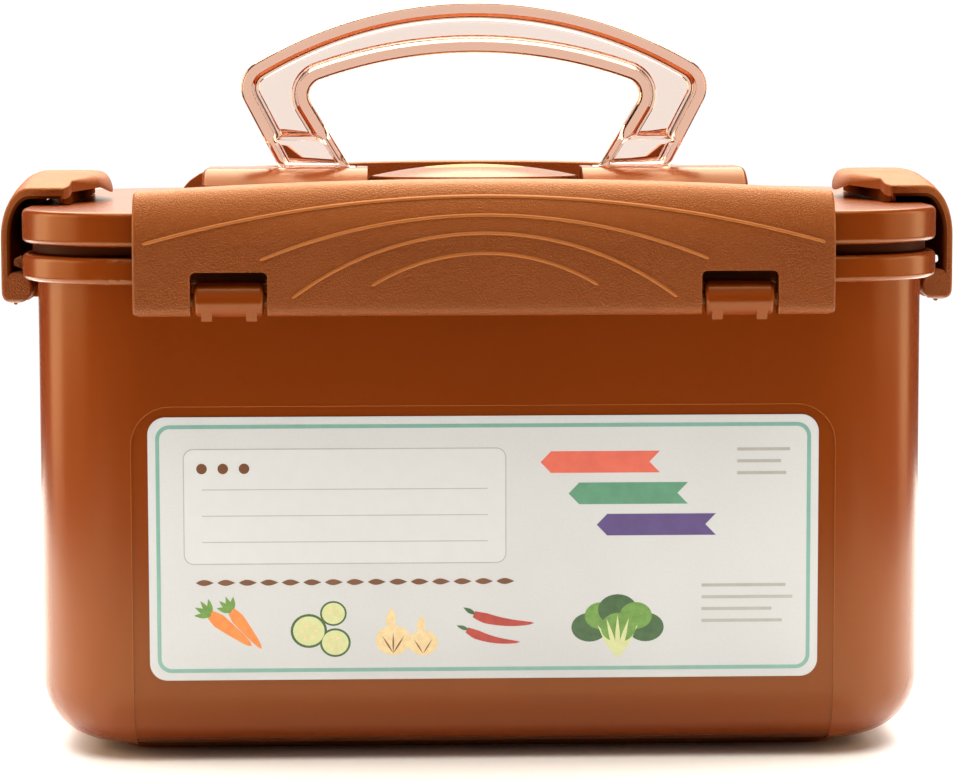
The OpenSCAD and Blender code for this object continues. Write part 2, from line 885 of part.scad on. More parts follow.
module vent_plug() {
    clip_z = inner_z - vent_travel - 2 * slide_fit - clip_h;
    color(cream) {
        translate([0, 0, clip_z])
            cylinder(h = knob_z + lap - clip_z, r = stem_r);
        translate([0, 0, clip_z])
            cylinder(h = clip_h, r = stem_r + clip_out);
        translate([0, 0, knob_z])
            rotate_extrude() {
                band(0, knob_r, 0, knob_h - knob_edge);
                band(0, knob_r - knob_edge, 0, knob_h);
                translate([knob_r - knob_edge, knob_h - knob_edge])
                    circle(knob_edge);
            }
    }
}

module vent_seal() {
    color(silicone)
        translate([0, 0, plate_z + vent_boss_h + slide_fit + vent_seal_r])
            rotate_extrude()
                translate([vent_ring_r, 0])
                    circle(vent_seal_r);
}

container_body();
front_label();
outer_lid();
lid_seal();
left_saddle();
right_saddle();
left_pivot_pin();
right_pivot_pin();
lid_badge();
carry_handle();
front_latch();
rear_latch();
left_latch();
right_latch();
inner_lid();
inner_lid_seal();
inner_pull_frame();
vent_plug();
vent_seal();
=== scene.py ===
"""Looks of a kimchi fermentation container: a brown tub with a latched lid and a clear carry handle."""

import math

import bmesh
import bpy
from mathutils import Matrix, Vector


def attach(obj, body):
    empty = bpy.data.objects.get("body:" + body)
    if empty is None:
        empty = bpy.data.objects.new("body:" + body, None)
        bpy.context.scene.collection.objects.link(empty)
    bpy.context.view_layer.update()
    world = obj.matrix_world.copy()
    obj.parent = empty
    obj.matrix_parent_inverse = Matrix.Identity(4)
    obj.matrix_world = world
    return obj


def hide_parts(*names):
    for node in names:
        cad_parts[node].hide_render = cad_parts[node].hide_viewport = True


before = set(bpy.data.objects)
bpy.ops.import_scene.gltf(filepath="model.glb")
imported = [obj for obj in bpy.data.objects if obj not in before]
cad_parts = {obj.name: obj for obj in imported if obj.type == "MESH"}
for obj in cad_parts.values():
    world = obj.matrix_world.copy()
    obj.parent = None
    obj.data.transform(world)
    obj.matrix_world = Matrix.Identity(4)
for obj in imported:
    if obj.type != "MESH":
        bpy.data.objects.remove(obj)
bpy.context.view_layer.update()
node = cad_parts
MM = 0.001


def add_node(tree, kind, **settings):
    """Adds a shader node with its settings."""
    made = tree.nodes.new(kind)
    for key, value in settings.items():
        setattr(made, key, value)
    return made


def feed(tree, socket, value):
    """Links a socket to another one, or sets its plain value."""
    if isinstance(value, bpy.types.NodeSocket):
        tree.links.new(value, socket)
    else:
        socket.default_value = value


def feed_all(tree, made, **values):
    """Feeds a node's inputs by their names; underscores stand for spaces."""
    for label, value in values.items():
        feed(tree, made.inputs[label.replace("_", " ")], value)
    return made


def calc(tree, operation, *values):
    """A math node on numbers or sockets."""
    made = add_node(tree, "ShaderNodeMath", operation=operation)
    for socket, value in zip(made.inputs, values):
        feed(tree, socket, value)
    return made.outputs[0]


def ramp(tree, value, low, high, to_low=0.0, to_high=1.0):
    """Maps a value smoothly from one range to another."""
    made = add_node(tree, "ShaderNodeMapRange", interpolation_type="SMOOTHSTEP")
    feed(tree, made.inputs[0], value)
    for socket, number in zip(list(made.inputs)[1:5], (low, high, to_low, to_high)):
        feed(tree, socket, number)
    return made.outputs[0]


def mix_colour(tree, share, first, second):
    """Mixes two colours."""
    made = add_node(tree, "ShaderNodeMix", data_type="RGBA")
    feed(tree, made.inputs[0], share)
    feed(tree, made.inputs[6], first)
    feed(tree, made.inputs[7], second)
    return made.outputs[2]


def noise(tree, where, scale, detail=3.0, rough=0.5):
    """A noise value on a set of coordinates."""
    made = add_node(tree, "ShaderNodeTexNoise")
    return feed_all(tree, made, Vector=where, Scale=scale, Detail=detail, Roughness=rough).outputs[0]


def vector_calc(tree, operation, first, second):
    """A vector math node on two vectors."""
    made = add_node(tree, "ShaderNodeVectorMath", operation=operation)
    feed(tree, made.inputs[0], first)
    feed(tree, made.inputs[1], second)
    return made.outputs


def place(tree):
    """Coordinates of the object's own frame, in metres."""
    return add_node(tree, "ShaderNodeTexCoord").outputs["Object"]


def axes(tree, where):
    """X, Y and Z of a set of coordinates."""
    return feed_all(tree, add_node(tree, "ShaderNodeSeparateXYZ"), Vector=where).outputs


def stretched(tree, where, scale, turn=(0.0, 0.0, 0.0)):
    """Coordinates turned and scaled, for streaks."""
    made = add_node(tree, "ShaderNodeMapping")
    return feed_all(tree, made, Vector=where, Scale=scale, Rotation=turn).outputs[0]


def new_group(name, inputs, outputs):
    """A shader node group with named inputs and outputs; returns its tree, input and output nodes."""
    tree = bpy.data.node_groups.new(name, "ShaderNodeTree")
    kinds = {"value": "NodeSocketFloat", "colour": "NodeSocketColor"}
    for in_out, sockets in (("INPUT", inputs), ("OUTPUT", outputs)):
        for label, kind in sockets:
            tree.interface.new_socket(label, in_out=in_out, socket_type=kinds[kind])
    return tree, add_node(tree, "NodeGroupInput"), add_node(tree, "NodeGroupOutput")


def use_group(tree, group, **values):
    """Places a group in a tree, feeds its inputs and returns its outputs."""
    return feed_all(tree, add_node(tree, "ShaderNodeGroup", node_tree=group), **values).outputs


def moulded_group():
    """Moulded plastic: slow flow clouds in the colour, and haze and fine rub marks in the gloss."""
    tree, into, out = new_group(
        "moulded_plastic",
        [("Colour", "colour"), ("Deep", "colour"), ("Gloss", "value"), ("Haze", "value")],
        [("Colour", "colour"), ("Roughness", "value"), ("Height", "value")],
    )
    where = place(tree)
    specks = noise(tree, where, 900.0, 2.0)
    clouded = ramp(tree, noise(tree, where, 14.0, 4.0, 0.55), 0.3, 0.75, 0.0, 0.6)
    share = calc(tree, "ADD", clouded, ramp(tree, specks, 0.62, 0.8, 0.0, 0.25))
    colour = mix_colour(tree, share, into.outputs["Colour"], into.outputs["Deep"])
    streaks = stretched(tree, where, (60.0, 60.0, 900.0), (0.3, 0.4, 0.2))
    rubs = ramp(tree, noise(tree, streaks, 1.0, 2.0, 0.6), 0.55, 0.8)
    haze = ramp(tree, noise(tree, where, 45.0, 5.0, 0.6), 0.35, 0.75)
    marks = calc(tree, "ADD", haze, calc(tree, "MULTIPLY", rubs, 0.6))
    dull = calc(tree, "MULTIPLY", marks, into.outputs["Haze"])
    roughness = calc(tree, "ADD", into.outputs["Gloss"], dull)
    ripple = calc(tree, "MULTIPLY", noise(tree, where, 38.0, 2.0, 0.4), 0.8)
    height = calc(tree, "ADD", ripple, calc(tree, "MULTIPLY", specks, 0.1))
    feed_all(tree, out, Colour=colour, Roughness=roughness, Height=height)
    return tree


def grain_group():
    """Leather-like moulded grain: small rounded pebbles with creases between them."""
    tree, into, out = new_group(
        "pebble_grain", [("Scale", "value")], [("Height", "value"), ("Crease", "value")]
    )
    where = place(tree)
    bent = feed_all(tree, add_node(tree, "ShaderNodeTexNoise"), Vector=where, Scale=700.0)
    offset = add_node(tree, "ShaderNodeVectorMath", operation="SCALE")
    feed_all(tree, offset, Vector=bent.outputs["Color"], Scale=0.0007)
    moved = vector_calc(tree, "ADD", where, offset.outputs[0])[0]
    cells = add_node(tree, "ShaderNodeTexVoronoi", feature="DISTANCE_TO_EDGE")
    feed_all(tree, cells, Vector=moved, Scale=into.outputs["Scale"])
    crease = ramp(tree, cells.outputs["Distance"], 0.0, 0.22, 1.0, 0.0)
    pores = calc(tree, "MULTIPLY", noise(tree, where, 2600.0, 2.0), 0.3)
    feed_all(tree, out, Crease=crease, Height=calc(tree, "SUBTRACT", pores, crease))
    return tree


def edge_wear_and_highlight_group():
    """Light edge wear and a painted highlight along the edges: a mask along edges, broken up by noise, from
    the rounded normal's turn.
    """
    tree, into, out = new_group("edge_wear_and_highlight", [("Width", "value")], [("Mask", "value")])
    soft = feed_all(tree, add_node(tree, "ShaderNodeBevel", samples=6), Radius=into.outputs["Width"])
    sharp = add_node(tree, "ShaderNodeNewGeometry").outputs["Normal"]
    likeness = vector_calc(tree, "DOT_PRODUCT", soft.outputs[0], sharp)["Value"]
    edge = ramp(tree, likeness, 0.8, 0.99, 1.0, 0.0)
    broken = ramp(tree, noise(tree, place(tree), 90.0, 3.0, 0.6), 0.3, 0.7, 0.55, 1.0)
    feed_all(tree, out, Mask=calc(tree, "MULTIPLY", edge, broken))
    return tree


MOULDED = moulded_group()
GRAIN = grain_group()
EDGE_WEAR_AND_HIGHLIGHT = edge_wear_and_highlight_group()

# Finishes
WARM_SHINE = (1.0, 0.78, 0.46, 1.0)
PLASTIC_IOR = 1.49
GRAIN_IOR = 1.56
BROWN = (0.193, 0.033, 0.0019, 1.0)
BROWN_DEEP = (0.17, 0.028, 0.0016, 1.0)
BROWN_PALE = (0.34, 0.09, 0.018, 1.0)
BROWN_GLOSS = 0.24
BROWN_HAZE = 0.015


def new_material(name):
    """An empty material; returns it with its tree and its main shader."""
    made = bpy.data.materials.new(name)
    made.use_nodes = True
    tree = made.node_tree
    tree.nodes.clear()
    shader = add_node(tree, "ShaderNodeBsdfPrincipled")
    output = add_node(tree, "ShaderNodeOutputMaterial")
    tree.links.new(shader.outputs[0], output.inputs["Surface"])
    return made, tree, shader


def bump(tree, shader, height, strength, distance):
    """Feeds a height to the shader's normal."""
    made = add_node(tree, "ShaderNodeBump")
    feed_all(tree, made, Strength=strength, Distance=distance, Height=height)
    feed_all(tree, shader, Normal=made.outputs[0])


def plastic(name, colour, deep, gloss, haze, edge=None):
    """Smooth moulded plastic with flow clouds and haze, and with paler edges where an edge colour is given:
    partly wear, partly a painted highlight along the edges.
    """
    made, tree, shader = new_material(name)
    look = use_group(tree, MOULDED, Colour=colour, Deep=deep, Gloss=gloss, Haze=haze)
    tone = look["Colour"]
    if edge:
        # Paler edges: light wear, and a painted highlight along the edges
        wear_and_highlight = use_group(tree, EDGE_WEAR_AND_HIGHLIGHT, Width=0.6 * MM)
        tone = mix_colour(tree, calc(tree, "MULTIPLY", wear_and_highlight["Mask"], 0.12), tone, edge)
    bump(tree, shader, look["Height"], 0.2, 0.015 * MM)
    feed_all(tree, shader, Base_Color=tone, Roughness=look["Roughness"], IOR=PLASTIC_IOR,
             Specular_Tint=WARM_SHINE)
    return made


def grained_plastic(name, colour, deep):
    """Moulded plastic with a fine leather grain and painted shade in its creases; paler towards the latches'
    crowns as a painted highlight from above, and paler at the edges, partly wear and partly a painted
    highlight.
    """
    made, tree, shader = new_material(name)
    look = use_group(tree, MOULDED, Colour=colour, Deep=deep, Gloss=0.4, Haze=0.04)
    grain = use_group(tree, GRAIN, Scale=1150.0)
    wear_and_highlight = use_group(tree, EDGE_WEAR_AND_HIGHLIGHT, Width=0.8 * MM)
    # Painted shade: the grain's creases are darkened
    painted_crease_shade = calc(tree, "MULTIPLY", grain["Crease"], 0.35)
    tone = mix_colour(tree, painted_crease_shade, look["Colour"], deep)
    # Painted highlight: paler towards the crowns, as if lit from above, and paler along the edges, partly
    # wear
    painted_top_light = ramp(tree, axes(tree, place(tree))["Z"], 146.0 * MM, 159.0 * MM, 0.0, 0.55)
    for share in (painted_top_light, calc(tree, "MULTIPLY", wear_and_highlight["Mask"], 0.8)):
        tone = mix_colour(tree, share, tone, BROWN_PALE)
    bump(tree, shader, grain["Height"], 0.75, 0.1 * MM)
    feed_all(tree, shader, Base_Color=tone, Roughness=look["Roughness"], IOR=GRAIN_IOR,
             Specular_Tint=WARM_SHINE)
    return made


def rubber_and_painted_shade(name, colour, deep, shine):
    """Soft dark rubber for the seals, and painted shade on the latches' inner faces: matt, with a little dust
    and fine moulding marks.
    """
    made, tree, shader = new_material(name)
    where = place(tree)
    dust = ramp(tree, noise(tree, where, 700.0, 4.0, 0.65), 0.55, 0.85)
    dusted = mix_colour(tree, calc(tree, "MULTIPLY", dust, 0.5), colour, deep)
    matt = ramp(tree, dust, 0.0, 1.0, 0.45, 0.7)
    bump(tree, shader, noise(tree, where, 1200.0, 2.0), 0.2, 0.04 * MM)
    feed_all(tree, shader, Base_Color=dusted, Roughness=matt, Specular_IOR_Level=shine,
             Specular_Tint=WARM_SHINE)
    return made


def turned_steel():
    """Turned steel of the left pivot pin: fine rings and small stains."""
    made, tree, shader = new_material("pin_steel")
    where = place(tree)
    rings = noise(tree, stretched(tree, where, (9000.0, 200.0, 200.0)), 1.0, 3.0, 0.6)
    stain = ramp(tree, noise(tree, where, 300.0, 3.0, 0.6), 0.5, 0.8)
    stained = mix_colour(tree, stain, (0.62, 0.61, 0.60, 1), (0.45, 0.43, 0.41, 1))
    ringed = ramp(tree, rings, 0.3, 0.7, 0.2, 0.38)
    bump(tree, shader, rings, 0.2, 0.02 * MM)
    feed_all(tree, shader, Base_Color=stained, Roughness=ringed, Metallic=1.0)
    return made


def badge_foil():
    """The bare badge: glossy brown plastic with a plain brushed gold-coloured oval on its crown."""
    made, tree, shader = new_material("badge_gold")
    where = place(tree)
    lines = noise(tree, stretched(tree, where, (120.0, 6000.0, 120.0)), 1.0, 3.0, 0.6)
    split = axes(tree, where)
    across = calc(tree, "POWER", calc(tree, "DIVIDE", split["X"], 15.5 * MM), 2.0)
    along = calc(tree, "POWER", calc(tree, "DIVIDE", split["Y"], 8.5 * MM), 2.0)
    oval = ramp(tree, calc(tree, "ADD", across, along), 0.97, 1.03, 1.0, 0.0)
    foil = mix_colour(tree, lines, (0.76, 0.50, 0.22, 1), (0.62, 0.38, 0.15, 1))
    edge = mix_colour(tree, ramp(tree, noise(tree, where, 60.0), 0.3, 0.7), BROWN, BROWN_DEEP)
    brushed = calc(tree, "MULTIPLY", ramp(tree, lines, 0.3, 0.7, -0.02, 0.12), oval)
    bump(tree, shader, calc(tree, "MULTIPLY", lines, oval), 0.15, 0.02 * MM)
    feed_all(tree, shader, Base_Color=mix_colour(tree, oval, edge, foil),
             Roughness=calc(tree, "ADD", brushed, BROWN_GLOSS),
             Metallic=calc(tree, "MULTIPLY", oval, 0.55), Specular_Tint=WARM_SHINE)
    return made


def clear_plastic(name, colour, thin, depth_colour, density):
    """Clear tinted plastic whose colour deepens with the length of the light's way through it."""
    made, tree, shader = new_material(name)
    where = place(tree)
    flow = noise(tree, where, 60.0)
    tint = mix_colour(tree, ramp(tree, flow, 0.3, 0.7), colour, thin)
    scuffs = ramp(tree, noise(tree, where, 420.0, 4.0, 0.65), 0.55, 0.8, 0.015, 0.09)
    bump(tree, shader, flow, 0.1, 0.05 * MM)
    feed_all(tree, shader, Base_Color=tint, Roughness=scuffs, IOR=PLASTIC_IOR, Transmission_Weight=1.0)
    depth = feed_all(tree, add_node(tree, "ShaderNodeVolumeAbsorption"), Color=depth_colour, Density=density)
    feed_all(tree, shader.outputs[0].links[0].to_node, Volume=depth.outputs[0])
    return made


def ink(name, colour, deep, scale=220.0):
    """Printing ink under a thin clear film: slightly uneven colour with fine dots."""
    made, tree, shader = new_material(name)
    where = place(tree)
    dots = ramp(tree, noise(tree, where, 3200.0, 1.0, 0.4), 0.45, 0.65)
    cloud = ramp(tree, noise(tree, where, scale, 4.0, 0.6), 0.3, 0.7)
    share = calc(tree, "ADD", calc(tree, "MULTIPLY", dots, 0.25), calc(tree, "MULTIPLY", cloud, 0.6))
    satin = ramp(tree, cloud, 0.0, 1.0, 0.28, 0.38)
    feed_all(tree, shader, Base_Color=mix_colour(tree, share, colour, deep), Roughness=satin,
             Coat_Weight=0.25, Coat_Roughness=0.12)
    return made


def label_stock(colour, deep):
    """Coated white label paper: faint fibres and a satin film."""
    made, tree, shader = new_material("label_stock")
    where = place(tree)
    fibre = noise(tree, where, 1500.0, 3.0, 0.6)
    cloud = noise(tree, where, 30.0, 2.0)
    share = calc(tree, "ADD", ramp(tree, fibre, 0.4, 0.7, 0.0, 0.5), ramp(tree, cloud, 0.3, 0.7, 0.0, 0.5))
    satin = ramp(tree, cloud, 0.3, 0.7, 0.3, 0.4)
    bump(tree, shader, fibre, 0.15, 0.02 * MM)
    feed_all(tree, shader, Base_Color=mix_colour(tree, share, colour, deep), Roughness=satin)
    return made


tub_brown = plastic("tub_brown", BROWN, BROWN_DEEP, 0.22, BROWN_HAZE, BROWN_PALE)
lid_brown = plastic("lid_brown", BROWN, BROWN_DEEP, BROWN_GLOSS, BROWN_HAZE, BROWN_PALE)
# Painted highlight: a paler brown for the thin strip round the label panel, as the light line along its edge
rim_painted_highlight = plastic("rim_painted_highlight", (0.27, 0.064, 0.007, 1), (0.24, 0.055, 0.006, 1), BROWN_GLOSS, BROWN_HAZE)
# Painted highlight: the beads are the latch plastic in a much paler colour, as if their tops caught the light
bead_painted_highlight = plastic("bead_painted_highlight", (0.37, 0.112, 0.024, 1), (0.34, 0.10, 0.02, 1), 0.28, 0.02)
latch_grain = grained_plastic("latch_grain", (0.208, 0.040, 0.0031, 1), (0.167, 0.031, 0.0024, 1))
# Painted shade: a darker copy of the latch plastic for the faces inside the hooks and under the hoods
latch_painted_shade = rubber_and_painted_shade("latch_painted_shade", (0.10, 0.022, 0.004, 1), (0.12, 0.028, 0.005, 1), 0.0)
seal_dark = rubber_and_painted_shade("seal_dark", (0.045, 0.007, 0.002, 1), (0.06, 0.012, 0.004, 1), 0.05)
amber = plastic(
    "inner_amber", (0.42, 0.17, 0.035, 1), (0.36, 0.13, 0.025, 1), 0.22, 0.12, (0.6, 0.3, 0.1, 1)
)
cream = plastic(
    "inner_cream", (0.80, 0.66, 0.38, 1), (0.74, 0.58, 0.31, 1), 0.24, 0.12, (0.86, 0.76, 0.52, 1)
)
pin_steel = turned_steel()
# The CAD's own plain steel, which model.glb brings in under this name
cad_steel = bpy.data.materials["pin_steel"]
badge_gold = badge_foil()
handle_clear = clear_plastic(
    "handle_clear", (1.0, 0.97, 0.95, 1), (1.0, 0.99, 0.98, 1), (0.86, 0.52, 0.32, 1.0), 120.0
)
label_paper = label_stock((0.597, 0.632, 0.665, 1), (0.558, 0.592, 0.624, 1))
teal = ink("teal_ink", (0.20, 0.42, 0.37, 1), (0.17, 0.37, 0.33, 1))
rule_grey = ink("rule_ink", (0.42, 0.43, 0.42, 1), (0.36, 0.37, 0.36, 1))
box_white = ink("box_ink", (0.63, 0.667, 0.702, 1), (0.606, 0.642, 0.676, 1))
warm_brown = ink("brown_ink", (0.17, 0.065, 0.022, 1), (0.13, 0.045, 0.015, 1))
coral = ink("coral_ink", (0.72, 0.16, 0.11, 1), (0.62, 0.12, 0.085, 1))
sage = ink("sage_ink", (0.12, 0.32, 0.21, 1), (0.09, 0.26, 0.17, 1))
plum = ink("plum_ink", (0.11, 0.075, 0.24, 1), (0.085, 0.055, 0.19, 1))
chilli = ink("chilli_ink", (0.46, 0.035, 0.02, 1), (0.30, 0.018, 0.012, 1), 500.0)
leaf_green = ink("leaf_ink", (0.15, 0.33, 0.05, 1), (0.07, 0.20, 0.025, 1), 420.0)
dark_green = ink("rind_ink", (0.035, 0.12, 0.03, 1), (0.02, 0.07, 0.018, 1), 500.0)
flesh = ink("flesh_ink", (0.62, 0.68, 0.36, 1), (0.54, 0.6, 0.28, 1), 600.0)
cream_ink = ink("cream_ink", (0.80, 0.66, 0.38, 1), (0.68, 0.5, 0.24, 1), 600.0)
carrot = ink("carrot_ink", (0.80, 0.26, 0.04, 1), (0.66, 0.18, 0.025, 1), 500.0)


def finish_all(piece, material):
    """Gives a whole object one finish."""
    piece.data.materials.clear()
    piece.data.materials.append(material)


PLAIN_NODES = {
    "lid_seal": seal_dark,
    "inner_lid_seal": seal_dark,
    "vent_seal": seal_dark,
    "left_pivot_pin": pin_steel,
    "right_pivot_pin": cad_steel,
    "inner_lid": amber,
    "inner_pull_frame": cream,
    "vent_plug": cream,
    "front_label": label_paper,
}
for name in node:
    finish_all(node[name], PLAIN_NODES.get(name, tub_brown))

# Distance at which points are merged, in metres, and the weight of broad faces in the normals
MERGE = 1e-6
FLAT_WEIGHT = 80


def put(bm, x, y, z):
    """Adds a point, in mm."""
    return bm.verts.new((x * MM, y * MM, z * MM))


def bridge(bm, first, second):
    """Joins two closed rows of points with a ring of faces."""
    made = []
    count = len(first)
    for i in range(count):
        j = (i + 1) % count
        made.append(bm.faces.new((first[i], first[j], second[j], second[i])))
    return made


def tube(bm, rings):
    """Joins closed rows of points into a closed tube; returns its rings of faces."""
    made = [bridge(bm, first, second) for first, second in zip(rings, rings[1:])]
    bm.faces.new(rings[0])
    bm.faces.new(list(reversed(rings[-1])))
    return made


def add_piece(bm, name, material, smooth=True):
    """Puts a built form in the scene as an object of one finish."""
    mesh = bpy.data.meshes.new(name)
    bm.to_mesh(mesh)
    bm.free()
    mesh.materials.append(material)
    for face in mesh.polygons:
        face.use_smooth = smooth
    made = bpy.data.objects.new(name, mesh)
    bpy.context.scene.collection.objects.link(made)
    return made


def face_out(bm):
    """Turns all faces outwards."""
    bmesh.ops.recalc_face_normals(bm, faces=bm.faces)


def keep_flat(piece, keep_sharp=False):
    """Keeps broad faces flat beside rounded edges."""
    flat = piece.modifiers.new("flat_faces", "WEIGHTED_NORMAL")
    flat.weight = FLAT_WEIGHT
    flat.keep_sharp = keep_sharp


def soften(piece, width, segments, angle):
    """Rounds a piece's sharp edges, with the width in mm and the least angle in degrees."""
    edge = piece.modifiers.new("soft_edges", "BEVEL")
    edge.width = width * MM
    edge.segments = segments
    edge.limit_method = "ANGLE"
    edge.angle_limit = math.radians(angle)
    keep_flat(piece)


def quarter(steps, first=0):
    """Cosine and sine of equal steps through a right angle."""
    angles = [math.pi / 2 * i / steps for i in range(first, steps + 1)]
    return [(math.cos(angle), math.sin(angle)) for angle in angles]


def bow_radius(half, rise):
    """Radius of an arc over half its span, with its rise in the middle."""
    return (half * half + rise * rise) / (2.0 * rise)


# Mouldings of the tub, lid and saddles, in mm
SHARP_ANGLE = math.radians(35.0)
FLAT_ANGLE = math.radians(0.05)
MOULD_SEGMENTS = 3
WALL_X = 128.5
WALL_Y = 95.0
NUB_LOW = 127.2
NUB_FRONT = 11.7
NUB_TUCK = 10.1
LID_TOP = 157.6
BOSS_CUT = 164.0
BOSS_LOW = 159.4
SADDLE_TOP = 167.3
SADDLE_FRONT = -16.0
SADDLE_RIDGE = -5.6
SADDLE_BROW = 162.0
SADDLE_CUTS = 10
SADDLE_BOW = 1.7
STEP_TOP = 163.2
STEP_RISE = 164.7
# Slack for finding a moulding's points, in mm
NEAR = 0.1
HAIR = 0.01


def tilt_nubs(bm):
    """Tucks in the lower edges of the grip nubs under the lugs, so that their fronts face a little down."""
    for vert in bm.verts:
        if abs(vert.co.z - NUB_LOW * MM) > NEAR / 2 * MM:
            continue
        for axis, wall in ((0, WALL_X), (1, WALL_Y)):
            if abs(abs(vert.co[axis]) - (wall + NUB_FRONT) * MM) < NEAR * MM:
                vert.co[axis] = math.copysign((wall + NUB_TUCK) * MM, vert.co[axis])


def sink_boss(bm):
    """Lowers the lid's flat boss, so that the domed badge covers it."""
    for vert in bm.verts:
        if vert.co.z > BOSS_CUT * MM:
            vert.co.z = BOSS_LOW * MM


def slope_saddle(bm):
    """Lets a saddle's top rise in a soft curve from its front, and tilts the step before it."""
    depth = SADDLE_RIDGE - SADDLE_FRONT
    for i in range(SADDLE_CUTS + 1):
        across = SADDLE_FRONT + HAIR + depth * i / SADDLE_CUTS
        everything = bm.verts[:] + bm.edges[:] + bm.faces[:]
        bmesh.ops.bisect_plane(bm, geom=everything, dist=1e-7, plane_co=(0.0, across * MM, 0.0),
                               plane_no=(0.0, 1.0, 0.0))
    for vert in bm.verts:
        y = vert.co.y / MM
        z = vert.co.z / MM
        if y > SADDLE_RIDGE or z < LID_TOP + HAIR:
            continue
        if y < SADDLE_FRONT + HAIR / 2 and abs(z - STEP_TOP) < NEAR / 2:
            if y > SADDLE_FRONT - NEAR:
                vert.co.z = STEP_RISE * MM
            continue
        share = min(max((y - SADDLE_FRONT) / depth, 0.0), 1.0)
        top = SADDLE_BROW + (SADDLE_TOP - SADDLE_BROW) * (1.0 - (1.0 - share) ** SADDLE_BOW)
        vert.co.z = (LID_TOP + (z - LID_TOP) * (top - LID_TOP) / (SADDLE_TOP - LID_TOP)) * MM


def rounded_copy(name, width, mould, material):
    """A copy of a CAD node that stands for it: its form is moulded, then its sharp edges are rounded."""
    bm = bmesh.new()
    bm.from_mesh(node[name].data)
    bmesh.ops.remove_doubles(bm, verts=bm.verts, dist=MERGE)
    bmesh.ops.dissolve_limit(bm, angle_limit=FLAT_ANGLE, verts=bm.verts, edges=bm.edges)
    mould(bm)
    sharp = [edge for edge in bm.edges
             if len(edge.link_faces) == 2 and edge.calc_face_angle(0.0) > SHARP_ANGLE]
    bmesh.ops.bevel(bm, geom=sharp, offset=width * MM, offset_type="OFFSET", segments=MOULD_SEGMENTS,
                    profile=0.5, affect="EDGES", clamp_overlap=True, loop_slide=True)
    bmesh.ops.triangulate(bm, faces=[face for face in bm.faces if len(face.verts) > 4])
    made = add_piece(bm, name + "_moulded", material)
    keep_flat(made, True)
    return made


MOULDED_NODES = {
    "container_body": (0.35, tilt_nubs, tub_brown),
    "outer_lid": (0.6, sink_boss, lid_brown),
    "left_saddle": (0.8, slope_saddle, lid_brown),
    "right_saddle": (0.8, slope_saddle, lid_brown),
}
for name, (width, mould, material) in MOULDED_NODES.items():
    piece = rounded_copy(name, width, mould, material)
    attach(piece, "tub")
    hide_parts(name)


def badge_dome():
    """The lens-shaped crown between the saddles: a short upright edge, rounded over to a low dome."""
    half = 32.2
    wide = 19.8
    base = 158.9
    brow = 164.4
    rise = 3.4
    roll = 0.8
    edge = 0.03
    side_steps = 40
    dome_steps = 12
    radius = bow_radius(half, wide)
    bow = math.asin(half / radius)
    outline = []
    for side in (1.0, -1.0):
        for i in range(side_steps):
            angle = bow - 2.0 * bow * i / side_steps
            across = radius * math.cos(angle) - radius + wide
            outline.append((side * radius * math.sin(angle), side * across))
    levels = [(1.0, base), (1.0, brow - roll)]
    for cosine, sine in quarter(4, 1):
        levels.append((1.0 - edge * (1.0 - cosine), brow - roll + roll * sine))
    for i in range(1, dome_steps):
        inwards = 1.0 - i / dome_steps
        levels.append(((1.0 - edge) * inwards, brow + rise * (1.0 - inwards ** 2)))
    bm = bmesh.new()
    rings = [[put(bm, x * share, y * share, z) for x, y in outline] for share, z in levels]
    for first, second in zip(rings, rings[1:]):
        bridge(bm, first, second)
    top = put(bm, 0.0, 0.0, brow + rise)
    last = rings[-1]
    for i in range(len(last)):
        bm.faces.new((last[i - 1], last[i], top))
    bm.faces.new(list(reversed(rings[0])))
    face_out(bm)
    return add_piece(bm, "badge_dome", badge_gold)


badge = badge_dome()
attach(badge, "tub")
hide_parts("lid_badge")

# The handle's edges, in mm; its legs lean outwards
HANDLE_TOP = 217.5
HANDLE_UNDER = 202.0
OUTER_ELBOW = (74.5, 194.5)
INNER_ELBOW = (53.2, 191.7)
OUTER_LEAN = math.radians(27.5)
INNER_LEAN = math.radians(31.0)
OUTER_ELBOW_R = 9.0
INNER_ELBOW_R = 5.0
RIB_LOW = 175.4
RIB_HIGH = 177.2
BLOCK_EDGE = 1.8
BLOCK_SHARE = 0.35
BLOCK_STEPS = 4
LEG_STEPS = 7
ELBOW_STEPS = 14
ARCH_STEPS = 40


def arc_points(centre, radius, start, end, steps):
    """Points of an arc from one angle to another."""
    made = []
    for i in range(steps + 1):
        angle = start + (end - start) * i / steps
        made.append(Vector((centre.x + radius * math.cos(angle), centre.y + radius * math.sin(angle))))
    return made


def arch_side(top, arc_r, elbow, lean, elbow_r, low):
    """Right half of an arch, from its leg's lower end over a rounded elbow to the middle."""
    along = Vector((math.sin(lean), math.cos(lean)))
    inwards = Vector((-math.cos(lean), math.sin(lean)))
    hub = Vector((0.0, top - arc_r))
    from_hub = elbow + inwards * elbow_r - hub
    slope = from_hub.dot(along)
    run = math.sqrt(slope * slope - from_hub.length_squared + (arc_r - elbow_r) ** 2) - slope
    centre = elbow + inwards * elbow_r + along * run
    meet = math.atan2(centre.y - hub.y, centre.x)
    foot = elbow + along * ((low - elbow.y) / math.cos(lean))
    elbow_points = arc_points(centre, elbow_r, -lean, meet, ELBOW_STEPS)
    knee = elbow_points[0]
    levels = [low + (RIB_LOW - low) * i / BLOCK_STEPS for i in range(BLOCK_STEPS)]
    levels += [RIB_LOW, RIB_HIGH]
    levels += [RIB_HIGH + (knee.y - RIB_HIGH) * i / LEG_STEPS for i in range(1, LEG_STEPS)]
    leg = [foot.lerp(knee, (level - foot.y) / (knee.y - foot.y)) for level in levels]
    return leg + elbow_points + arc_points(hub, arc_r, meet, math.pi / 2, ARCH_STEPS)[1:]


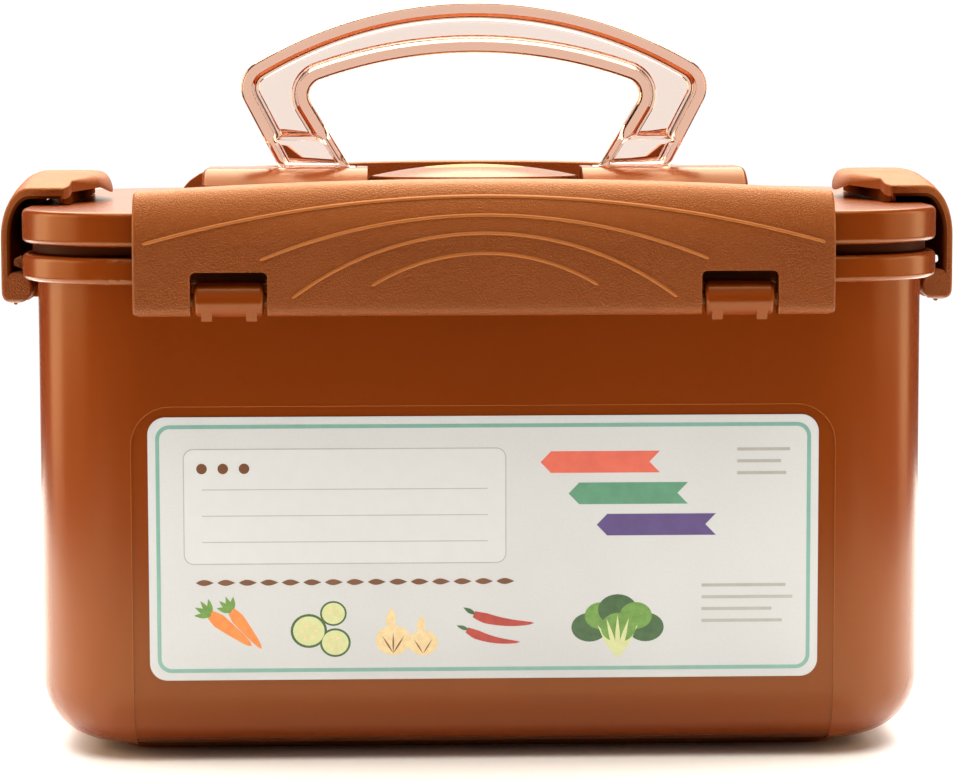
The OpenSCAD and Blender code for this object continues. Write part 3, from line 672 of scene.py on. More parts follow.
def edge_halves(inset, low):
    """The right halves of the handle's outer and inner edge, drawn in by inset."""
    outer_in = Vector((-math.cos(OUTER_LEAN), math.sin(OUTER_LEAN)))
    inner_in = Vector((math.cos(INNER_LEAN), -math.sin(INNER_LEAN)))
    outer_r = bow_radius(OUTER_ELBOW[0], HANDLE_TOP - OUTER_ELBOW[1])
    inner_r = bow_radius(INNER_ELBOW[0], HANDLE_UNDER - INNER_ELBOW[1])
    outer = arch_side(HANDLE_TOP - inset, outer_r - inset, Vector(OUTER_ELBOW) + inset * outer_in,
                      OUTER_LEAN, max(OUTER_ELBOW_R - inset, 1.0), low)
    inner = arch_side(HANDLE_UNDER + inset, inner_r + inset, Vector(INNER_ELBOW) + inset * inner_in,
                      INNER_LEAN, INNER_ELBOW_R + inset, low)
    return outer, inner


def handle_loop(inset, low):
    """The handle's outline, drawn in by inset; below the ribs it is drawn in less, for wider clear blocks."""
    thin = min(inset, BLOCK_EDGE) + BLOCK_SHARE * max(inset - BLOCK_EDGE, 0.0)
    paths = []
    for half, block in zip(edge_halves(inset, low), edge_halves(thin, low)):
        half = block[:BLOCK_STEPS + 1] + half[BLOCK_STEPS + 1:]
        paths.append(half + [Vector((-p.x, p.y)) for p in reversed(half[:-1])])
    outer, inner = paths
    return outer + list(reversed(inner))


def round_off(start, end, bend, steps):
    """Points of a quarter round from start to end, given the corner that it rounds."""
    made = []
    for cosine, sine in quarter(steps):
        made.append([b + (s - b) * (1 - sine) + (e - b) * (1 - cosine) for s, e, b in zip(start, end, bend)])
    return made


def handle_grip():
    """The clear handle: an arched I-section whose sunk web runs to the feet, with a cross rib in each leg."""
    half_t = 6.0
    border = 3.5
    web_edge = 5.1
    web = 2.0
    low = 167.3
    sunk = 167.8
    draft = 0.2
    edge = 1.8
    edge_steps = 7
    lip = 0.5
    lip_steps = 4
    ease = 0.1
    rib_inset = 0.3
    rib_rise = 1.1
    flange = round_off((0.0, half_t - edge), (edge, half_t), (0.0, half_t), edge_steps)
    profile = [(inset, y, low) for inset, y in flange]
    wall = round_off((border - lip, half_t), (border + ease, half_t - lip), (border, half_t), lip_steps)
    wall += round_off((web_edge - ease, web + lip), (web_edge + lip, web), (web_edge, web), lip_steps)
    profile += [(inset, y, sunk + draft * (inset - border)) for inset, y in wall]
    bm = bmesh.new()
    rims = []
    ribs = []
    for face in (-1.0, 1.0):
        rings = []
        for inset, y, lowest in profile:
            rings.append([put(bm, p.x, face * y, p.y) for p in handle_loop(inset, lowest)])
        for first, second in zip(rings, rings[1:]):
            bridge(bm, first, second)
        floor = rings[-1]
        count = len(floor)
        last = count // 2 - 2
        for i in range(last + 1):
            made = bm.faces.new((floor[i], floor[i + 1], floor[count - 2 - i], floor[count - 1 - i]))
            if i in (BLOCK_STEPS, last - BLOCK_STEPS):
                ribs.append(made)
        rims.append(rings[0])
    bridge(bm, *rims)
    face_out(bm)
    bmesh.ops.inset_individual(bm, faces=ribs, thickness=rib_inset * MM, depth=rib_rise * MM)
    return add_piece(bm, "handle_grip", handle_clear)


def handle_feet():
    """The handle's two feet between the saddles' ears: round below, with a bore for the pivot pin."""
    inner_x = 36.68
    outer_x = 60.18
    radius = 4.6
    bore = 2.2
    pivot = 164.2
    top = 167.25
    steps = 24
    outline = []
    hole = []
    for i in range(steps + 1):
        angle = math.pi + math.pi * i / steps
        outline.append((radius * math.cos(angle), pivot + radius * math.sin(angle)))
        hole.append((bore * math.cos(angle), pivot + bore * math.sin(angle)))
    for i in range(steps + 1):
        share = i / steps
        outline.append((radius * (1.0 - 2.0 * share), top))
        hole.append((bore * math.cos(math.pi * share), pivot + bore * math.sin(math.pi * share)))
    bm = bmesh.new()
    for side in (-1.0, 1.0):
        loops = []
        for x in (inner_x, outer_x):
            loops += [[put(bm, side * x, y, z) for y, z in points] for points in (outline, hole)]
        near, near_hole, far, far_hole = loops
        for first, second in ((near, far), (near_hole, far_hole), (near, near_hole), (far, far_hole)):
            bridge(bm, first, second)
    bmesh.ops.remove_doubles(bm, verts=bm.verts, dist=MERGE)
    face_out(bm)
    made = add_piece(bm, "handle_feet", handle_clear)
    soften(made, 0.4, 2, 40.0)
    return made


grip = handle_grip()
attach(grip, "handle")
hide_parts("carry_handle")
feet = handle_feet()
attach(feet, "handle")

# A latch's section, in mm: out from the wall and up from the base
HINGE = (7.9, 133.1)
KNUCKLE = 4.6
KNUCKLE_STEPS = 20
KNUCKLE_CORNER = 0.6
PLATE_OUT = 12.5
PLATE_IN = 9.8
SHOULDER = (8.5, 15.0)
SHOULDER_STEPS = 12
CREST_STEPS = 14
NOSE_STEPS = 6
UNDER_STEPS = 5
HOOK_U = -7.6
LIP_U = -4.6
HOOK_T = 3.4
HOOK_NOSE = 0.5
HOOD_T = 2.6
HOOD_NOSE = 2.1
HOOD_RUN = 2.0
HOOD_REACH = 9.0
HOOD_DROOP = 4.0
HOOD_BOW = 3.2
# How many of a section's last points lie inside the hook, and how many with the hood's underside; the faces
# along them get painted shade
HOOK_POINTS = SHOULDER_STEPS + 4
HOOD_POINTS = HOOK_POINTS + UNDER_STEPS + 1
# Along a latch: notches over the lugs, rounded ends and the hinge bar
NOTCH_HALF = 10.75
NOTCH_R = 1.5
NOTCH_STEPS = 5
NOTCH_TOP = 141.0
STATION_STEP = 3.0
LEAST_STATIONS = 4
END_RUN = 4.5
END_STEPS = 8
END_EDGE = 0.9
EDGE_STEPS = 4
END_LOW = 2.4
END_HOOK = (5.0, 2.4)
BAR_R = 2.0
BAR_PAST = 11.75
BAR_STEPS = 24
# The long and the side latches
LONG_HALF = 98.0
LONG_LUG = 71.3
LONG_TOP = 166.2
CROWN_DROP = 3.2
LIP_DROP = 5.4
REAR_CORNER = 14.0
SIDE_HALF = 48.0
SIDE_LUG = 27.0
SIDE_TOP = 162.5
SIDE_DOME = 3.6
SIDE_BOW = 2.4
HOOD_HALF = 36.0
# Raised arcs: half span, height of ends and peak above the hinge, and how far they stand out
BEADS = ((95.0, 15.8, 28.8, 0.42), (62.5, 11.3, 23.6, 0.42), (53.6, 0.7, 18.6, 0.42), (31.5, 4.1, 13.0, 0.26))
BEAD_STEPS = 140
BEAD_SIDES = 8
BEAD_RUN_IN = 1.4
BEAD_HALF = 0.5
BEAD_TIP = 0.4
BEAD_SINK = 0.12
BEAD_FOOT = 0.1


def drop_in(share):
    """How far a quarter round has fallen at a share of its radius."""
    return 1.0 - math.sqrt(max(1.0 - share * share, 0.0))


def knuckle_points(low):
    """A latch's lower end: a round knuckle with a squarer outer corner, or a notch's edge at a height."""
    made = []
    start = math.asin((PLATE_IN - HINGE[0]) / KNUCKLE)
    for i in range(KNUCKLE_STEPS + 1):
        share = i / KNUCKLE_STEPS
        if low is not None:
            made.append((PLATE_IN + (PLATE_OUT - PLATE_IN) * share, low))
            continue
        angle = math.pi / 2 - start + (1.5 * math.pi + start) * share
        across = math.cos(angle)
        up = math.sin(angle)
        if angle > 1.5 * math.pi:
            across = max(across, 0.0) ** KNUCKLE_CORNER
            up = -max(-up, 0.0) ** KNUCKLE_CORNER
        made.append((HINGE[0] + KNUCKLE * across, HINGE[1] + KNUCKLE * up))
    return made


def latch_section(top, tip_u, lip_z, low):
    """A latch's section as points (out, up); tip_u is the end of its hook, or of the hood beyond it."""
    hub_u = PLATE_OUT - SHOULDER[0]
    hub_z = top - SHOULDER[1]
    root_u = max(tip_u, HOOK_U)
    over = min((root_u - tip_u) / HOOD_RUN, 1.0)
    under = HOOK_T + (HOOD_T - HOOK_T) * over
    nose = HOOK_NOSE + (HOOD_NOSE - HOOK_NOSE) * over

    def crest(u):
        return top - HOOD_DROOP * (max(0.0, HOOK_U - u) / HOOD_REACH) ** HOOD_BOW

    points = knuckle_points(low)
    for cosine, sine in quarter(SHOULDER_STEPS):
        points.append((hub_u + SHOULDER[0] * cosine, hub_z + SHOULDER[1] * sine))
    for i in range(1, CREST_STEPS + 1):
        u = hub_u + (tip_u + nose - hub_u) * i / CREST_STEPS
        points.append((u, crest(u)))
    for cosine, sine in quarter(NOSE_STEPS, 1):
        u = tip_u + nose * (1.0 - sine)
        points.append((u, crest(u) - nose * (1.0 - cosine)))
    for i in range(UNDER_STEPS + 1):
        share = i / UNDER_STEPS
        u = tip_u + (root_u - tip_u) * share
        points.append((u, crest(u) - under + (under - HOOK_T) * share))
    points += [(root_u, lip_z), (LIP_U, lip_z), (LIP_U, top - HOOK_T)]
    for cosine, sine in reversed(quarter(SHOULDER_STEPS)):
        points.append((hub_u + (PLATE_IN - hub_u) * cosine, hub_z + (SHOULDER[1] - HOOK_T) * sine))
    return points


def shrunk(points, inset):
    """A closed outline, clockwise as seen along it, moved in by inset along its corners' normals."""
    least_side = 1e-6
    least_turn = 1e-3
    least_spread = 0.6
    made = []
    count = len(points)
    for i in range(count):
        here = Vector(points[i])
        before = here - Vector(points[i - 1])
        after = Vector(points[(i + 1) % count]) - here
        if before.length < least_side:
            before = after
        if after.length < least_side:
            after = before
        turn = before.normalized() + after.normalized()
        if turn.length < least_turn:
            made.append(tuple(here))
            continue
        turn.normalize()
        inwards = Vector((-turn.y, turn.x))
        spread = max(turn.dot(after.normalized()), least_spread)
        made.append(tuple(here + inwards * (inset / spread)))
    return made


def notch_stations(middle):
    """Places along a notch with its height there; None is the whole knuckle beside it."""
    rise = []
    for cosine, sine in quarter(NOTCH_STEPS):
        rise.append((NOTCH_HALF - NOTCH_R * (1 - cosine), NOTCH_TOP - NOTCH_R + NOTCH_R * sine))
    left = [(middle - across, low) for across, low in rise]
    right = [(middle + across, low) for across, low in reversed(rise)]
    return [(middle - NOTCH_HALF, None)] + left + right + [(middle + NOTCH_HALF, None)]


def latch_stations(half, lug_x):
    """Places along a latch with the notch height there, or None outside the notches."""
    end = half - END_EDGE
    corner = end - END_RUN
    runs = []
    for start, stop in ((-corner, -lug_x - NOTCH_HALF), (-lug_x + NOTCH_HALF, lug_x - NOTCH_HALF),
                        (lug_x + NOTCH_HALF, corner)):
        steps = max(int((stop - start) / STATION_STEP), LEAST_STATIONS)
        runs.append([(start + (stop - start) * i / steps, None) for i in range(steps + 1)])
    tail = [(corner + (end - corner) * i / END_STEPS, None) for i in range(1, END_STEPS + 1)]
    head = [(-along, low) for along, low in reversed(tail)]
    left, middle, right = runs
    return head + left[:-1] + notch_stations(-lug_x) + middle[1:-1] + notch_stations(lug_x) + right[1:] + tail


def latch_ring(along, low, half, top, tip_u, lip_z):
    """A latch's section at a place along it, with its corners rounded towards the ends."""
    into = abs(along) - (half - END_HOOK[0])
    if into > 0.0:
        tip_u = max(tip_u, HOOK_U + END_HOOK[1] * drop_in(min(into / END_HOOK[0], 1.0)))
    section = latch_section(top, tip_u, lip_z, low)
    into = abs(along) - (half - END_LOW)
    if into > 0.0:
        lowest = HINGE[1] - KNUCKLE + END_LOW * drop_in(min(into / END_LOW, 1.0))
        section = [(u, max(z, lowest)) for u, z in section]
    return section


def turn_to_wall(bm, turn):
    """Turns a form that was built at the front to its own wall, by an angle in degrees."""
    bmesh.ops.rotate(bm, verts=bm.verts, cent=(0, 0, 0), matrix=Matrix.Rotation(math.radians(turn), 3, "Z"))


def latch_shell(name, half, lug_x, top_at, tip_at, lip_at, reach, turn, painted_shade_faces):
    """A whole latch: knuckle with notches, plate, shoulder, hook, any finger hood, and the hinge bar, with
    painted shade on the faces inside the hook and under the hood.
    """
    outlines = []
    for along, low in latch_stations(half, lug_x):
        outlines.append((along, latch_ring(along, low, half, top_at(along), tip_at(along), lip_at(along))))
    first_along, first = outlines[0]
    last_along, last = outlines[-1]
    for cosine, sine in quarter(EDGE_STEPS, 1):
        inset = END_EDGE * (1.0 - cosine)
        outlines.insert(0, (first_along - END_EDGE * sine, shrunk(first, inset)))
        outlines.append((last_along + END_EDGE * sine, shrunk(last, inset)))
    bm = bmesh.new()
    rows = tube(bm, [[put(bm, along, -(reach + u), z) for u, z in section] for along, section in outlines])
    # Painted shade: the last faces of each ring, inside the hook and under the hood, get the darker second
    # material
    for faces in rows:
        for face in faces[-painted_shade_faces:]:
            face.material_index = 1
    bmesh.ops.remove_doubles(bm, verts=bm.verts, dist=2.0 * MERGE)
    bmesh.ops.dissolve_degenerate(bm, edges=bm.edges, dist=MERGE)
    around = [2 * math.pi * i / BAR_STEPS for i in range(BAR_STEPS)]
    bar = [(-reach - HINGE[0] + BAR_R * math.cos(a), HINGE[1] + BAR_R * math.sin(a)) for a in around]
    ends = (-lug_x - BAR_PAST, lug_x + BAR_PAST)
    tube(bm, [[put(bm, end, y, z) for y, z in bar] for end in ends])
    face_out(bm)
    turn_to_wall(bm, turn)
    made = add_piece(bm, name, latch_grain)
    made.data.materials.append(latch_painted_shade)
    soften(made, 0.5, 3, 38.0)
    return made


def long_top(along):
    """The crowned top of a long latch."""
    return LONG_TOP - CROWN_DROP * (along / LONG_HALF) ** 2


def rear_top(along):
    """The crowned top of the rear latch, whose upper corners are rounded off."""
    share = max(0.0, (abs(along) - LONG_HALF + REAR_CORNER) / REAR_CORNER)
    return long_top(along) - REAR_CORNER * drop_in(share)


def hook_tip(along):
    """End of a long latch's hook, which is straight."""
    return HOOK_U


def side_top(along):
    """The domed top of a side latch."""
    return SIDE_TOP + SIDE_DOME * (1.0 - (abs(along) / SIDE_HALF) ** SIDE_BOW)


def hood_tip(along):
    """End of a side latch's finger hood, which bows out over the lid in the middle."""
    share = min(abs(along) / HOOD_HALF, 1.0)
    return HOOK_U - HOOD_REACH * (1.0 - share * share)


def side_lip(along):
    """Lower edge of a side latch's lip, which reaches down to the lid."""
    return LID_TOP


def shoulder_u(z, top):
    """How far out a latch's outer face lies at a height, for a latch of that top."""
    start = top - SHOULDER[1]
    if z <= start:
        return PLATE_OUT
    return PLATE_OUT - SHOULDER[0] * drop_in(min((z - start) / SHOULDER[1], 1.0))


def latch_beads(name, top_at, reach, turn):
    """The raised arcs on a long latch, half round and tapering at their ends, in a paler colour that paints
    their highlight.
    """
    bm = bmesh.new()
    for half, low, high, proud in BEADS:
        radius = bow_radius(half, high - low)
        centre = HINGE[1] + high - radius
        spread = math.asin(half / radius)
        rings = []
        for i in range(BEAD_STEPS + 1):
            angle = -spread * math.cos(math.pi * i / BEAD_STEPS)
            run_in = min(1.0, (spread - abs(angle)) * radius / BEAD_RUN_IN)
            swell = math.sqrt(max(run_in * (2.0 - run_in), 0.0))
            ring = []
            for j in range(BEAD_SIDES + 1):
                around = math.pi * j / BEAD_SIDES
                far = radius + BEAD_HALF * (BEAD_TIP + (1.0 - BEAD_TIP) * swell) * math.cos(around)
                x = far * math.sin(angle)
                z = centre + far * math.cos(angle)
                u = shoulder_u(z, top_at(x)) - BEAD_SINK + (BEAD_FOOT + proud * swell) * math.sin(around)
                ring.append(put(bm, x, -(reach + u), z))
            rings.append(ring)
        tube(bm, rings)
    face_out(bm)
    turn_to_wall(bm, turn)
    return add_piece(bm, name, bead_painted_highlight)


for name, top_at, turn in (("front_latch", long_top, 0.0), ("rear_latch", rear_top, 180.0)):
    shell = latch_shell(name + "_shell", LONG_HALF, LONG_LUG, top_at, hook_tip,
                        lambda along: top_at(along) - LIP_DROP, WALL_Y, turn, HOOK_POINTS)
    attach(shell, name)
    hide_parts(name)
    beads = latch_beads(name + "_beads", top_at, WALL_Y, turn)
    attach(beads, name)
for name, turn in (("right_latch", 90.0), ("left_latch", 270.0)):
    shell = latch_shell(name + "_shell", SIDE_HALF, SIDE_LUG, side_top, hood_tip,
                        side_lip, WALL_X, turn, HOOD_POINTS)
    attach(shell, name)
    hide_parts(name)

# The sunk label panel and the tub's front face, in mm
PANEL_HALF = 99.8
PANEL_TOP = 102.2
PANEL_R = 11.0
PANEL_RIM = 0.34
RIM_STEPS = 12
RIM_SECTION = ((0.0, -0.04), (0.3, 0.07), (0.7, 0.07), (1.0, -0.04))
CORNER_X = 95.5
CORNER_R = 33.0
CORNER_Y = -62.0
BASE_R = 18.0
BASE_Z = 20.5


def wall_y(x, z):
    """The tub's front face at a place, with its rounded upright and lower edges."""
    below = max(BASE_Z - z, 0.0)
    radius = CORNER_R - BASE_R + math.sqrt(BASE_R * BASE_R - below * below)
    beyond = max(abs(x) - CORNER_X, 0.0)
    return CORNER_Y - math.sqrt(radius * radius - beyond * beyond)


def panel_highlight_line():
    """A fine, slightly raised paler strip round the sunk label panel, open at the base: a painted highlight
    along the panel's edge.
    """
    side = PANEL_HALF - PANEL_R
    shoulder = PANEL_TOP - PANEL_R
    side_steps = 2 * RIM_STEPS
    path = [(PANEL_HALF, BASE_Z + (shoulder - BASE_Z) * i / side_steps, 1.0, 0.0) for i in range(side_steps)]
    for cosine, sine in quarter(RIM_STEPS):
        path.append((side + PANEL_R * cosine, shoulder + PANEL_R * sine, cosine, sine))
    path += [(-x, z, -cosine, sine) for x, z, cosine, sine in reversed(path)]
    bm = bmesh.new()
    rings = []
    for x, z, cosine, sine in path:
        ring = []
        for share, lift in RIM_SECTION:
            across = x + PANEL_RIM * share * cosine
            up = z + PANEL_RIM * share * sine
            ring.append(put(bm, across, wall_y(across, up) - lift, up))
        rings.append(ring)
    tube(bm, rings)
    face_out(bm)
    return add_piece(bm, "panel_highlight_line", rim_painted_highlight)


rim = panel_highlight_line()
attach(rim, "tub")

# The label's print, in mm: across from the middle and up from the label's lower edge
LABEL_Y = -94.7
LABEL_BASE = 24.0
PRINT_BACK = 0.02
LAYER = 0.008
LAYERS = 4
# How far a print stands out, from the writing box to what lies over other prints
UNDER_PRINT = 0.02
FLAT_PRINT = 0.03
PICTURE = 0.04
OVER_PRINT = 0.045
STALK_PRINT = 0.05
TOP_PRINT = 0.06


def turned(outline, u, v, turn):
    """An outline turned by an angle in degrees and moved to a place on the label."""
    cosine = math.cos(math.radians(turn))
    sine = math.sin(math.radians(turn))
    return [(u + x * cosine - z * sine, v + x * sine + z * cosine) for x, z in outline]


def disc(u, v, radius, squash=1.0, turn=0.0, steps=28):
    """An ellipse."""
    angles = [2 * math.pi * i / steps for i in range(steps)]
    return turned([(radius * math.cos(a), radius * squash * math.sin(a)) for a in angles], u, v, turn)


def soft_box(u0, u1, v0, v1, radius):
    """A rounded rectangle."""
    steps = 8
    made = []
    for u, v, start in ((u1 - radius, v1 - radius, 0.0), (u0 + radius, v1 - radius, 90.0),
                        (u0 + radius, v0 + radius, 180.0), (u1 - radius, v0 + radius, 270.0)):
        for i in range(steps + 1):
            angle = math.radians(start + 90.0 * i / steps)
            made.append((u + radius * math.cos(angle), v + radius * math.sin(angle)))
    return made


def stroke(u, v, length, thick):
    """A plain bar."""
    return [(u, v), (u + length, v), (u + length, v + thick), (u, v + thick)]


def leaf(u, v, length, width, turn):
    """A pointed leaf that starts at a place and runs along an angle."""
    steps = 12
    made = []
    for side in (1.0, -1.0):
        for i in range(steps):
            share = i / steps if side > 0 else 1.0 - i / steps
            made.append((length * share, side * width * math.sin(math.pi * share) * (1.15 - 0.4 * share)))
    return turned(made, u, v, turn)


def fan(u, v, count, spread, length, width, lean=90.0):
    """A bunch of leaves that start at one place."""
    made = []
    for i in range(count):
        aside = i / (count - 1) - 0.5
        made.append(leaf(u, v, length * (1.0 - 0.2 * abs(aside)), width, lean + spread * aside))
    return made


def pod(u, v, length, width, turn, bend=0.0):
    """A tapering root or a curved pepper pod."""
    steps = 14
    upper = []
    lower = []
    for i in range(steps + 1):
        share = i / steps
        half = width * math.sqrt(max(1.0 - share, 0.0)) * min(1.0, 0.55 + 2.2 * share)
        middle = bend * share * share
        upper.append((length * share, middle + half))
        lower.append((length * share, middle - half))
    return turned(upper + lower[-2::-1], u, v, turn)


def ribbon(u, v):
    """A flat ribbon with a point at its left end and a swallow-tail cut at its right end."""
    length = 34.0
    half = 3.1
    notch = 3.0
    end = u + length
    upper = [(u, v), (u + notch, v + half), (end, v + half)]
    return upper + [(end - notch, v), (end, v - half), (u + notch, v - half)]


def printed(name, shapes, material, lift, rings=()):
    """Thin printed shapes on the label's face: filled outlines, and rings from pairs of outlines."""
    bm = bmesh.new()
    front = LABEL_Y - lift
    back = LABEL_Y + PRINT_BACK

    def row(outline, y):
        return [put(bm, u, y, LABEL_BASE + v) for u, v in outline]

    for i, outline in enumerate(shapes):
        tube(bm, [row(outline, front - i % LAYERS * LAYER), row(outline, back)])
    for outer, inner in rings:
        loops = [row(outer, back), row(outer, front), row(inner, front), row(inner, back)]
        for first, second in zip(loops, loops[1:] + loops[:1]):
            bridge(bm, first, second)
    face_out(bm)
    made = add_piece(bm, name, material, False)
    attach(made, "tub")


def lay_form():
    """The label's border, writing box, rope line, ribbons and plain bars."""
    border = (soft_box(-93.0, 93.0, 2.2, 73.1, 4.0), soft_box(-91.9, 91.9, 3.3, 72.0, 3.0))
    printed("label_border", [], teal, FLAT_PRINT, [border])
    box = soft_box(-85.0, 6.0, 33.5, 66.0, 2.6)
    printed("label_box", [box], box_white, UNDER_PRINT)
    lines = [stroke(-80.0, v, 81.0, 0.25) for v in (39.5, 47.0, 54.5)]
    printed("label_rules", lines, rule_grey, FLAT_PRINT, [(soft_box(-85.3, 6.3, 33.2, 66.3, 2.9), box)])
    printed("label_marks", [disc(-80.0 + 6.0 * i, 60.6, 1.5) for i in range(3)], warm_brown, FLAT_PRINT)
    rope = [leaf(-82.0 + 6.1 * i, 28.0, 5.2, 0.9, 0.0) for i in range(15)]
    printed("label_rope", rope, warm_brown, FLAT_PRINT)
    printed("label_ribbon_coral", [ribbon(16.0, 62.0)], coral, FLAT_PRINT)
    printed("label_ribbon_sage", [ribbon(24.0, 53.0)], sage, FLAT_PRINT)
    printed("label_ribbon_plum", [ribbon(32.0, 44.0)], plum, FLAT_PRINT)
    bars = []
    for top, left, lengths in ((65.0, 72.0, (15.0, 12.5, 14.0)), (26.0, 62.0, (24.0, 26.0, 20.0, 23.0))):
        bars += [stroke(left, top - 3.4 * i, length, 0.9) for i, length in enumerate(lengths)]
    printed("label_strokes", bars, rule_grey, FLAT_PRINT)


def lay_vegetables():
    """A band of simple vegetables below the rope line, with a leafy head at its right end."""
    roots = [pod(-78.0, 19.0, 15.0, 2.3, -38.0), pod(-72.0, 20.0, 14.0, 2.0, -52.0)]
    printed("label_carrots", roots, carrot, PICTURE)
    tops = fan(-77.6, 18.6, 4, 80.0, 5.5, 0.8, 140.0) + fan(-71.8, 19.6, 4, 80.0, 5.0, 0.8, 125.0)
    printed("label_carrot_tops", tops, leaf_green, FLAT_PRINT)
    slices = ((-50.0, 14.0, 5.2), (-42.5, 10.6, 4.4), (-43.0, 19.0, 3.8))
    printed("label_rinds", [disc(u, v, r, 0.94) for u, v, r in slices], dark_green, FLAT_PRINT)
    printed("label_flesh", [disc(u, v, r * 0.86, 0.94) for u, v, r in slices], flesh, OVER_PRINT)
    seeds = []
    for u, v, r in slices:
        for turn in range(0, 360, 60):
            across = 0.42 * r * math.cos(math.radians(turn))
            up = 0.4 * r * math.sin(math.radians(turn))
            seeds.append(disc(u + across, v + up, 0.16 * r, 0.5, turn, 12))
    printed("label_seeds", seeds, cream_ink, TOP_PRINT)
    bulbs = []
    creases = []
    for u, v, r in ((-26.0, 11.2, 5.0), (-17.5, 10.4, 4.2)):
        bulbs += [disc(u, v, r, 0.86), leaf(u - 0.2 * r, v + 0.6 * r, 1.3 * r, 0.3 * r, 84.0)]
        creases += [leaf(u, v - 0.75 * r, 1.2 * r, 0.05 * r, lean) for lean in (58.0, 90.0, 122.0)]
    printed("label_bulbs", bulbs, cream_ink, FLAT_PRINT)
    printed("label_bulb_lines", creases, warm_brown, OVER_PRINT)
    peppers = [pod(-3.0, 18.5, 17.0, 1.7, -22.0, 4.0), pod(-5.0, 14.0, 15.0, 1.5, -30.0, 4.5)]
    printed("label_peppers", peppers, chilli, PICTURE)
    stalks = [leaf(-2.4, 18.4, 4.2, 0.7, 150.0), leaf(-4.4, 14.0, 3.8, 0.6, 160.0)]
    printed("label_stalks", stalks, dark_green, STALK_PRINT)
    shade = [disc(u, v, r, 0.8) for u, v, r in ((30.0, 14.5, 5.2), (46.0, 14.5, 5.2), (38.0, 19.5, 5.6))]
    printed("label_sprig_shade", shade, dark_green, FLAT_PRINT)
    crown = [disc(u, v, r, 0.84) for u, v, r in ((33.2, 17.8, 4.6), (43.2, 17.8, 4.6), (38.2, 14.4, 5.0))]
    printed("label_sprig", crown, leaf_green, OVER_PRINT)
    printed("label_veins", fan(38.0, 5.6, 5, 62.0, 12.5, 0.7), flesh, TOP_PRINT)


lay_form()
lay_vegetables()

# The photograph's view: focal length in pixels of its width, place in mm, and angles in degrees
PHOTO_WIDTH = 963.0
FOCAL_PIXELS = 3304.0
SENSOR = 36.0
CAMERA_AT = (-28.3, -1025.0, 197.5)
CAMERA_YAW = 1.7
CAMERA_PITCH = 5.6
CAMERA_ROLL = 0.13


def aim_camera():
    """The photograph's view: slightly from above and from the left of the middle."""
    data = bpy.data.cameras.new("camera")
    data.sensor_fit = "HORIZONTAL"
    data.sensor_width = SENSOR
    data.lens = SENSOR * FOCAL_PIXELS / PHOTO_WIDTH
    data.clip_start = 0.05
    data.clip_end = 50.0
    camera = bpy.data.objects.new("camera", data)
    bpy.context.scene.collection.objects.link(camera)
    yaw = math.radians(CAMERA_YAW)
    pitch = math.radians(CAMERA_PITCH)
    roll = math.radians(CAMERA_ROLL)
    ahead = Vector((math.sin(yaw) * math.cos(pitch), math.cos(yaw) * math.cos(pitch), -math.sin(pitch)))
    right = Vector((math.cos(yaw), -math.sin(yaw), 0.0))
    up = right.cross(ahead)
    turned_right = right * math.cos(roll) - up * math.sin(roll)
    turned_up = up * math.cos(roll) + right * math.sin(roll)
    turn = Matrix((turned_right, turned_up, -ahead)).transposed().to_4x4()
    camera.matrix_world = Matrix.Translation([value * MM for value in CAMERA_AT]) @ turn
    bpy.context.scene.camera = camera


# Studio lights: place, target and size in metres, power in watts, and colour
WARM_LIGHT = (1.0, 0.70, 0.40)
PLAIN_LIGHT = (1.0, 0.99, 0.97)
CREAM_LIGHT = (1.0, 0.86, 0.62)
SOFT_LIGHTS = (
    ("left_box", (-1.35, 0.42, 0.35), (-0.1, 0.0, 0.1), (0.5, 0.9), 5.0, WARM_LIGHT),
    ("right_box", (1.35, 0.42, 0.35), (0.1, 0.0, 0.1), (0.4, 0.9), 3.6, WARM_LIGHT),
    ("left_fill", (-1.4, -0.15, 0.5), (-0.1, 0.0, 0.1), (1.0, 1.0), 11.0, WARM_LIGHT),
    ("right_fill", (1.4, -0.15, 0.5), (0.1, 0.0, 0.1), (1.0, 1.0), 7.0, WARM_LIGHT),
    ("front_box", (0.1, -1.9, 1.7), (0.0, 0.0, 0.1), (2.8, 1.9), 4.0, PLAIN_LIGHT),
    ("back_box", (0.0, 1.1, 1.3), (0.0, 0.0, 0.17), (1.7, 0.9), 30.0, CREAM_LIGHT),
    ("top_box", (0.0, 0.1, 1.6), (0.0, 0.0, 0.17), (1.7, 1.5), 30.0, CREAM_LIGHT),
)
SUN_TILT = -8.0
SUN_SPREAD = 76.0
SUN_STRENGTH = 4.9


def soft_light(name, where, target, size, watts, colour):
    """A rectangular soft light aimed at a point."""
    data = bpy.data.lights.new(name, "AREA")
    data.shape = "RECTANGLE"
    data.size, data.size_y = size
    data.energy = watts
    data.color = colour
    light = bpy.data.objects.new(name, data)
    light.location = where
    light.rotation_euler = (Vector(target) - Vector(where)).to_track_quat("-Z", "Y").to_euler()
    bpy.context.scene.collection.objects.link(light)


def overhead():
    """Broad soft light from above, a little from behind, that leaves no glint."""
    data = bpy.data.lights.new("overhead", "SUN")
    data.energy = SUN_STRENGTH
    data.angle = math.radians(SUN_SPREAD)
    light = bpy.data.objects.new("overhead", data)
    light.visible_glossy = False
    light.rotation_euler = (math.radians(SUN_TILT), 0.0, 0.0)
    bpy.context.scene.collection.objects.link(light)


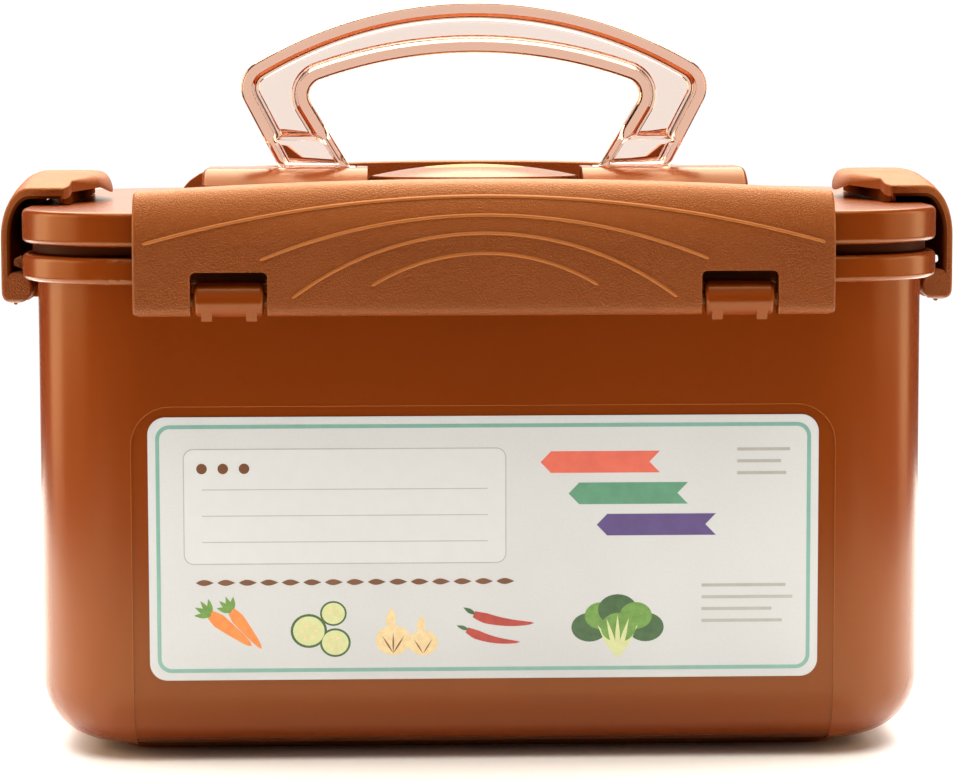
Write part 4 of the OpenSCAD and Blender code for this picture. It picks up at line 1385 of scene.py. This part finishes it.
def set_world():
    """A dim studio with a bright backdrop, white to the camera and through clear plastic."""
    world = bpy.data.worlds.new("studio")
    world.use_nodes = True
    tree = world.node_tree
    tree.nodes.clear()
    output = add_node(tree, "ShaderNodeOutputWorld")
    glow = add_node(tree, "ShaderNodeBackground")
    white = add_node(tree, "ShaderNodeBackground")
    feed_all(tree, white, Color=(1.0, 1.0, 1.0, 1.0), Strength=1.05)
    split = axes(tree, add_node(tree, "ShaderNodeTexCoord").outputs["Generated"])
    spread = calc(tree, "DIVIDE", calc(tree, "ABSOLUTE", split["X"]), calc(tree, "MAXIMUM", split["Y"], 0.02))
    band = calc(tree, "MULTIPLY", ramp(tree, spread, 0.22, 0.42, 1.0, 0.0), ramp(tree, split["Y"], 0.1, 0.4))
    strength = calc(tree, "ADD", calc(tree, "MULTIPLY", band, 1.4), 0.05)
    feed_all(tree, glow, Color=(1.0, 0.90, 0.79, 1.0), Strength=strength)
    path = add_node(tree, "ShaderNodeLightPath").outputs
    through = calc(tree, "MULTIPLY", path["Is Transmission Ray"], ramp(tree, split["Y"], 0.2, 0.75))
    blend = add_node(tree, "ShaderNodeMixShader")
    feed(tree, blend.inputs[0], calc(tree, "MAXIMUM", path["Is Camera Ray"], through))
    tree.links.new(glow.outputs[0], blend.inputs[1])
    tree.links.new(white.outputs[0], blend.inputs[2])
    tree.links.new(blend.outputs[0], output.inputs["Surface"])
    bpy.context.scene.world = world


def lay_floor():
    """A white studio floor with painted light: it glows a little beside the object and before it, away from
    its shadow.
    """
    made, tree, shader = new_material("studio_floor")
    where = place(tree)
    tone = ramp(tree, noise(tree, where, 3.0), 0.3, 0.7)
    white = mix_colour(tree, tone, (0.90, 0.90, 0.90, 1), (0.92, 0.92, 0.92, 1))
    split = axes(tree, where)
    beside = ramp(tree, calc(tree, "ABSOLUTE", split["X"]), 0.108, 0.135)
    before = ramp(tree, split["Y"], -0.17, -0.125, 0.5, 0.0)
    around = calc(tree, "MAXIMUM", beside, before)
    glow = mix_colour(tree, around, (0, 0, 0, 1), (1.0, 0.99, 0.97, 1))
    feed_all(tree, shader, Base_Color=white, Roughness=0.45, Emission_Color=glow, Emission_Strength=0.6)
    mesh = bpy.data.meshes.new("floor")
    corners = [(-0.5, -0.42), (0.5, -0.42), (0.5, 0.5), (-0.5, 0.5)]
    mesh.from_pydata([(x, y, 0.0) for x, y in corners], [], [(0, 1, 2, 3)])
    mesh.materials.append(made)
    floor = bpy.data.objects.new("floor", mesh)
    bpy.context.scene.collection.objects.link(floor)


aim_camera()
set_world()
lay_floor()
for settings in SOFT_LIGHTS:
    soft_light(*settings)
overhead()
bpy.context.scene.view_settings.view_transform = "Standard"
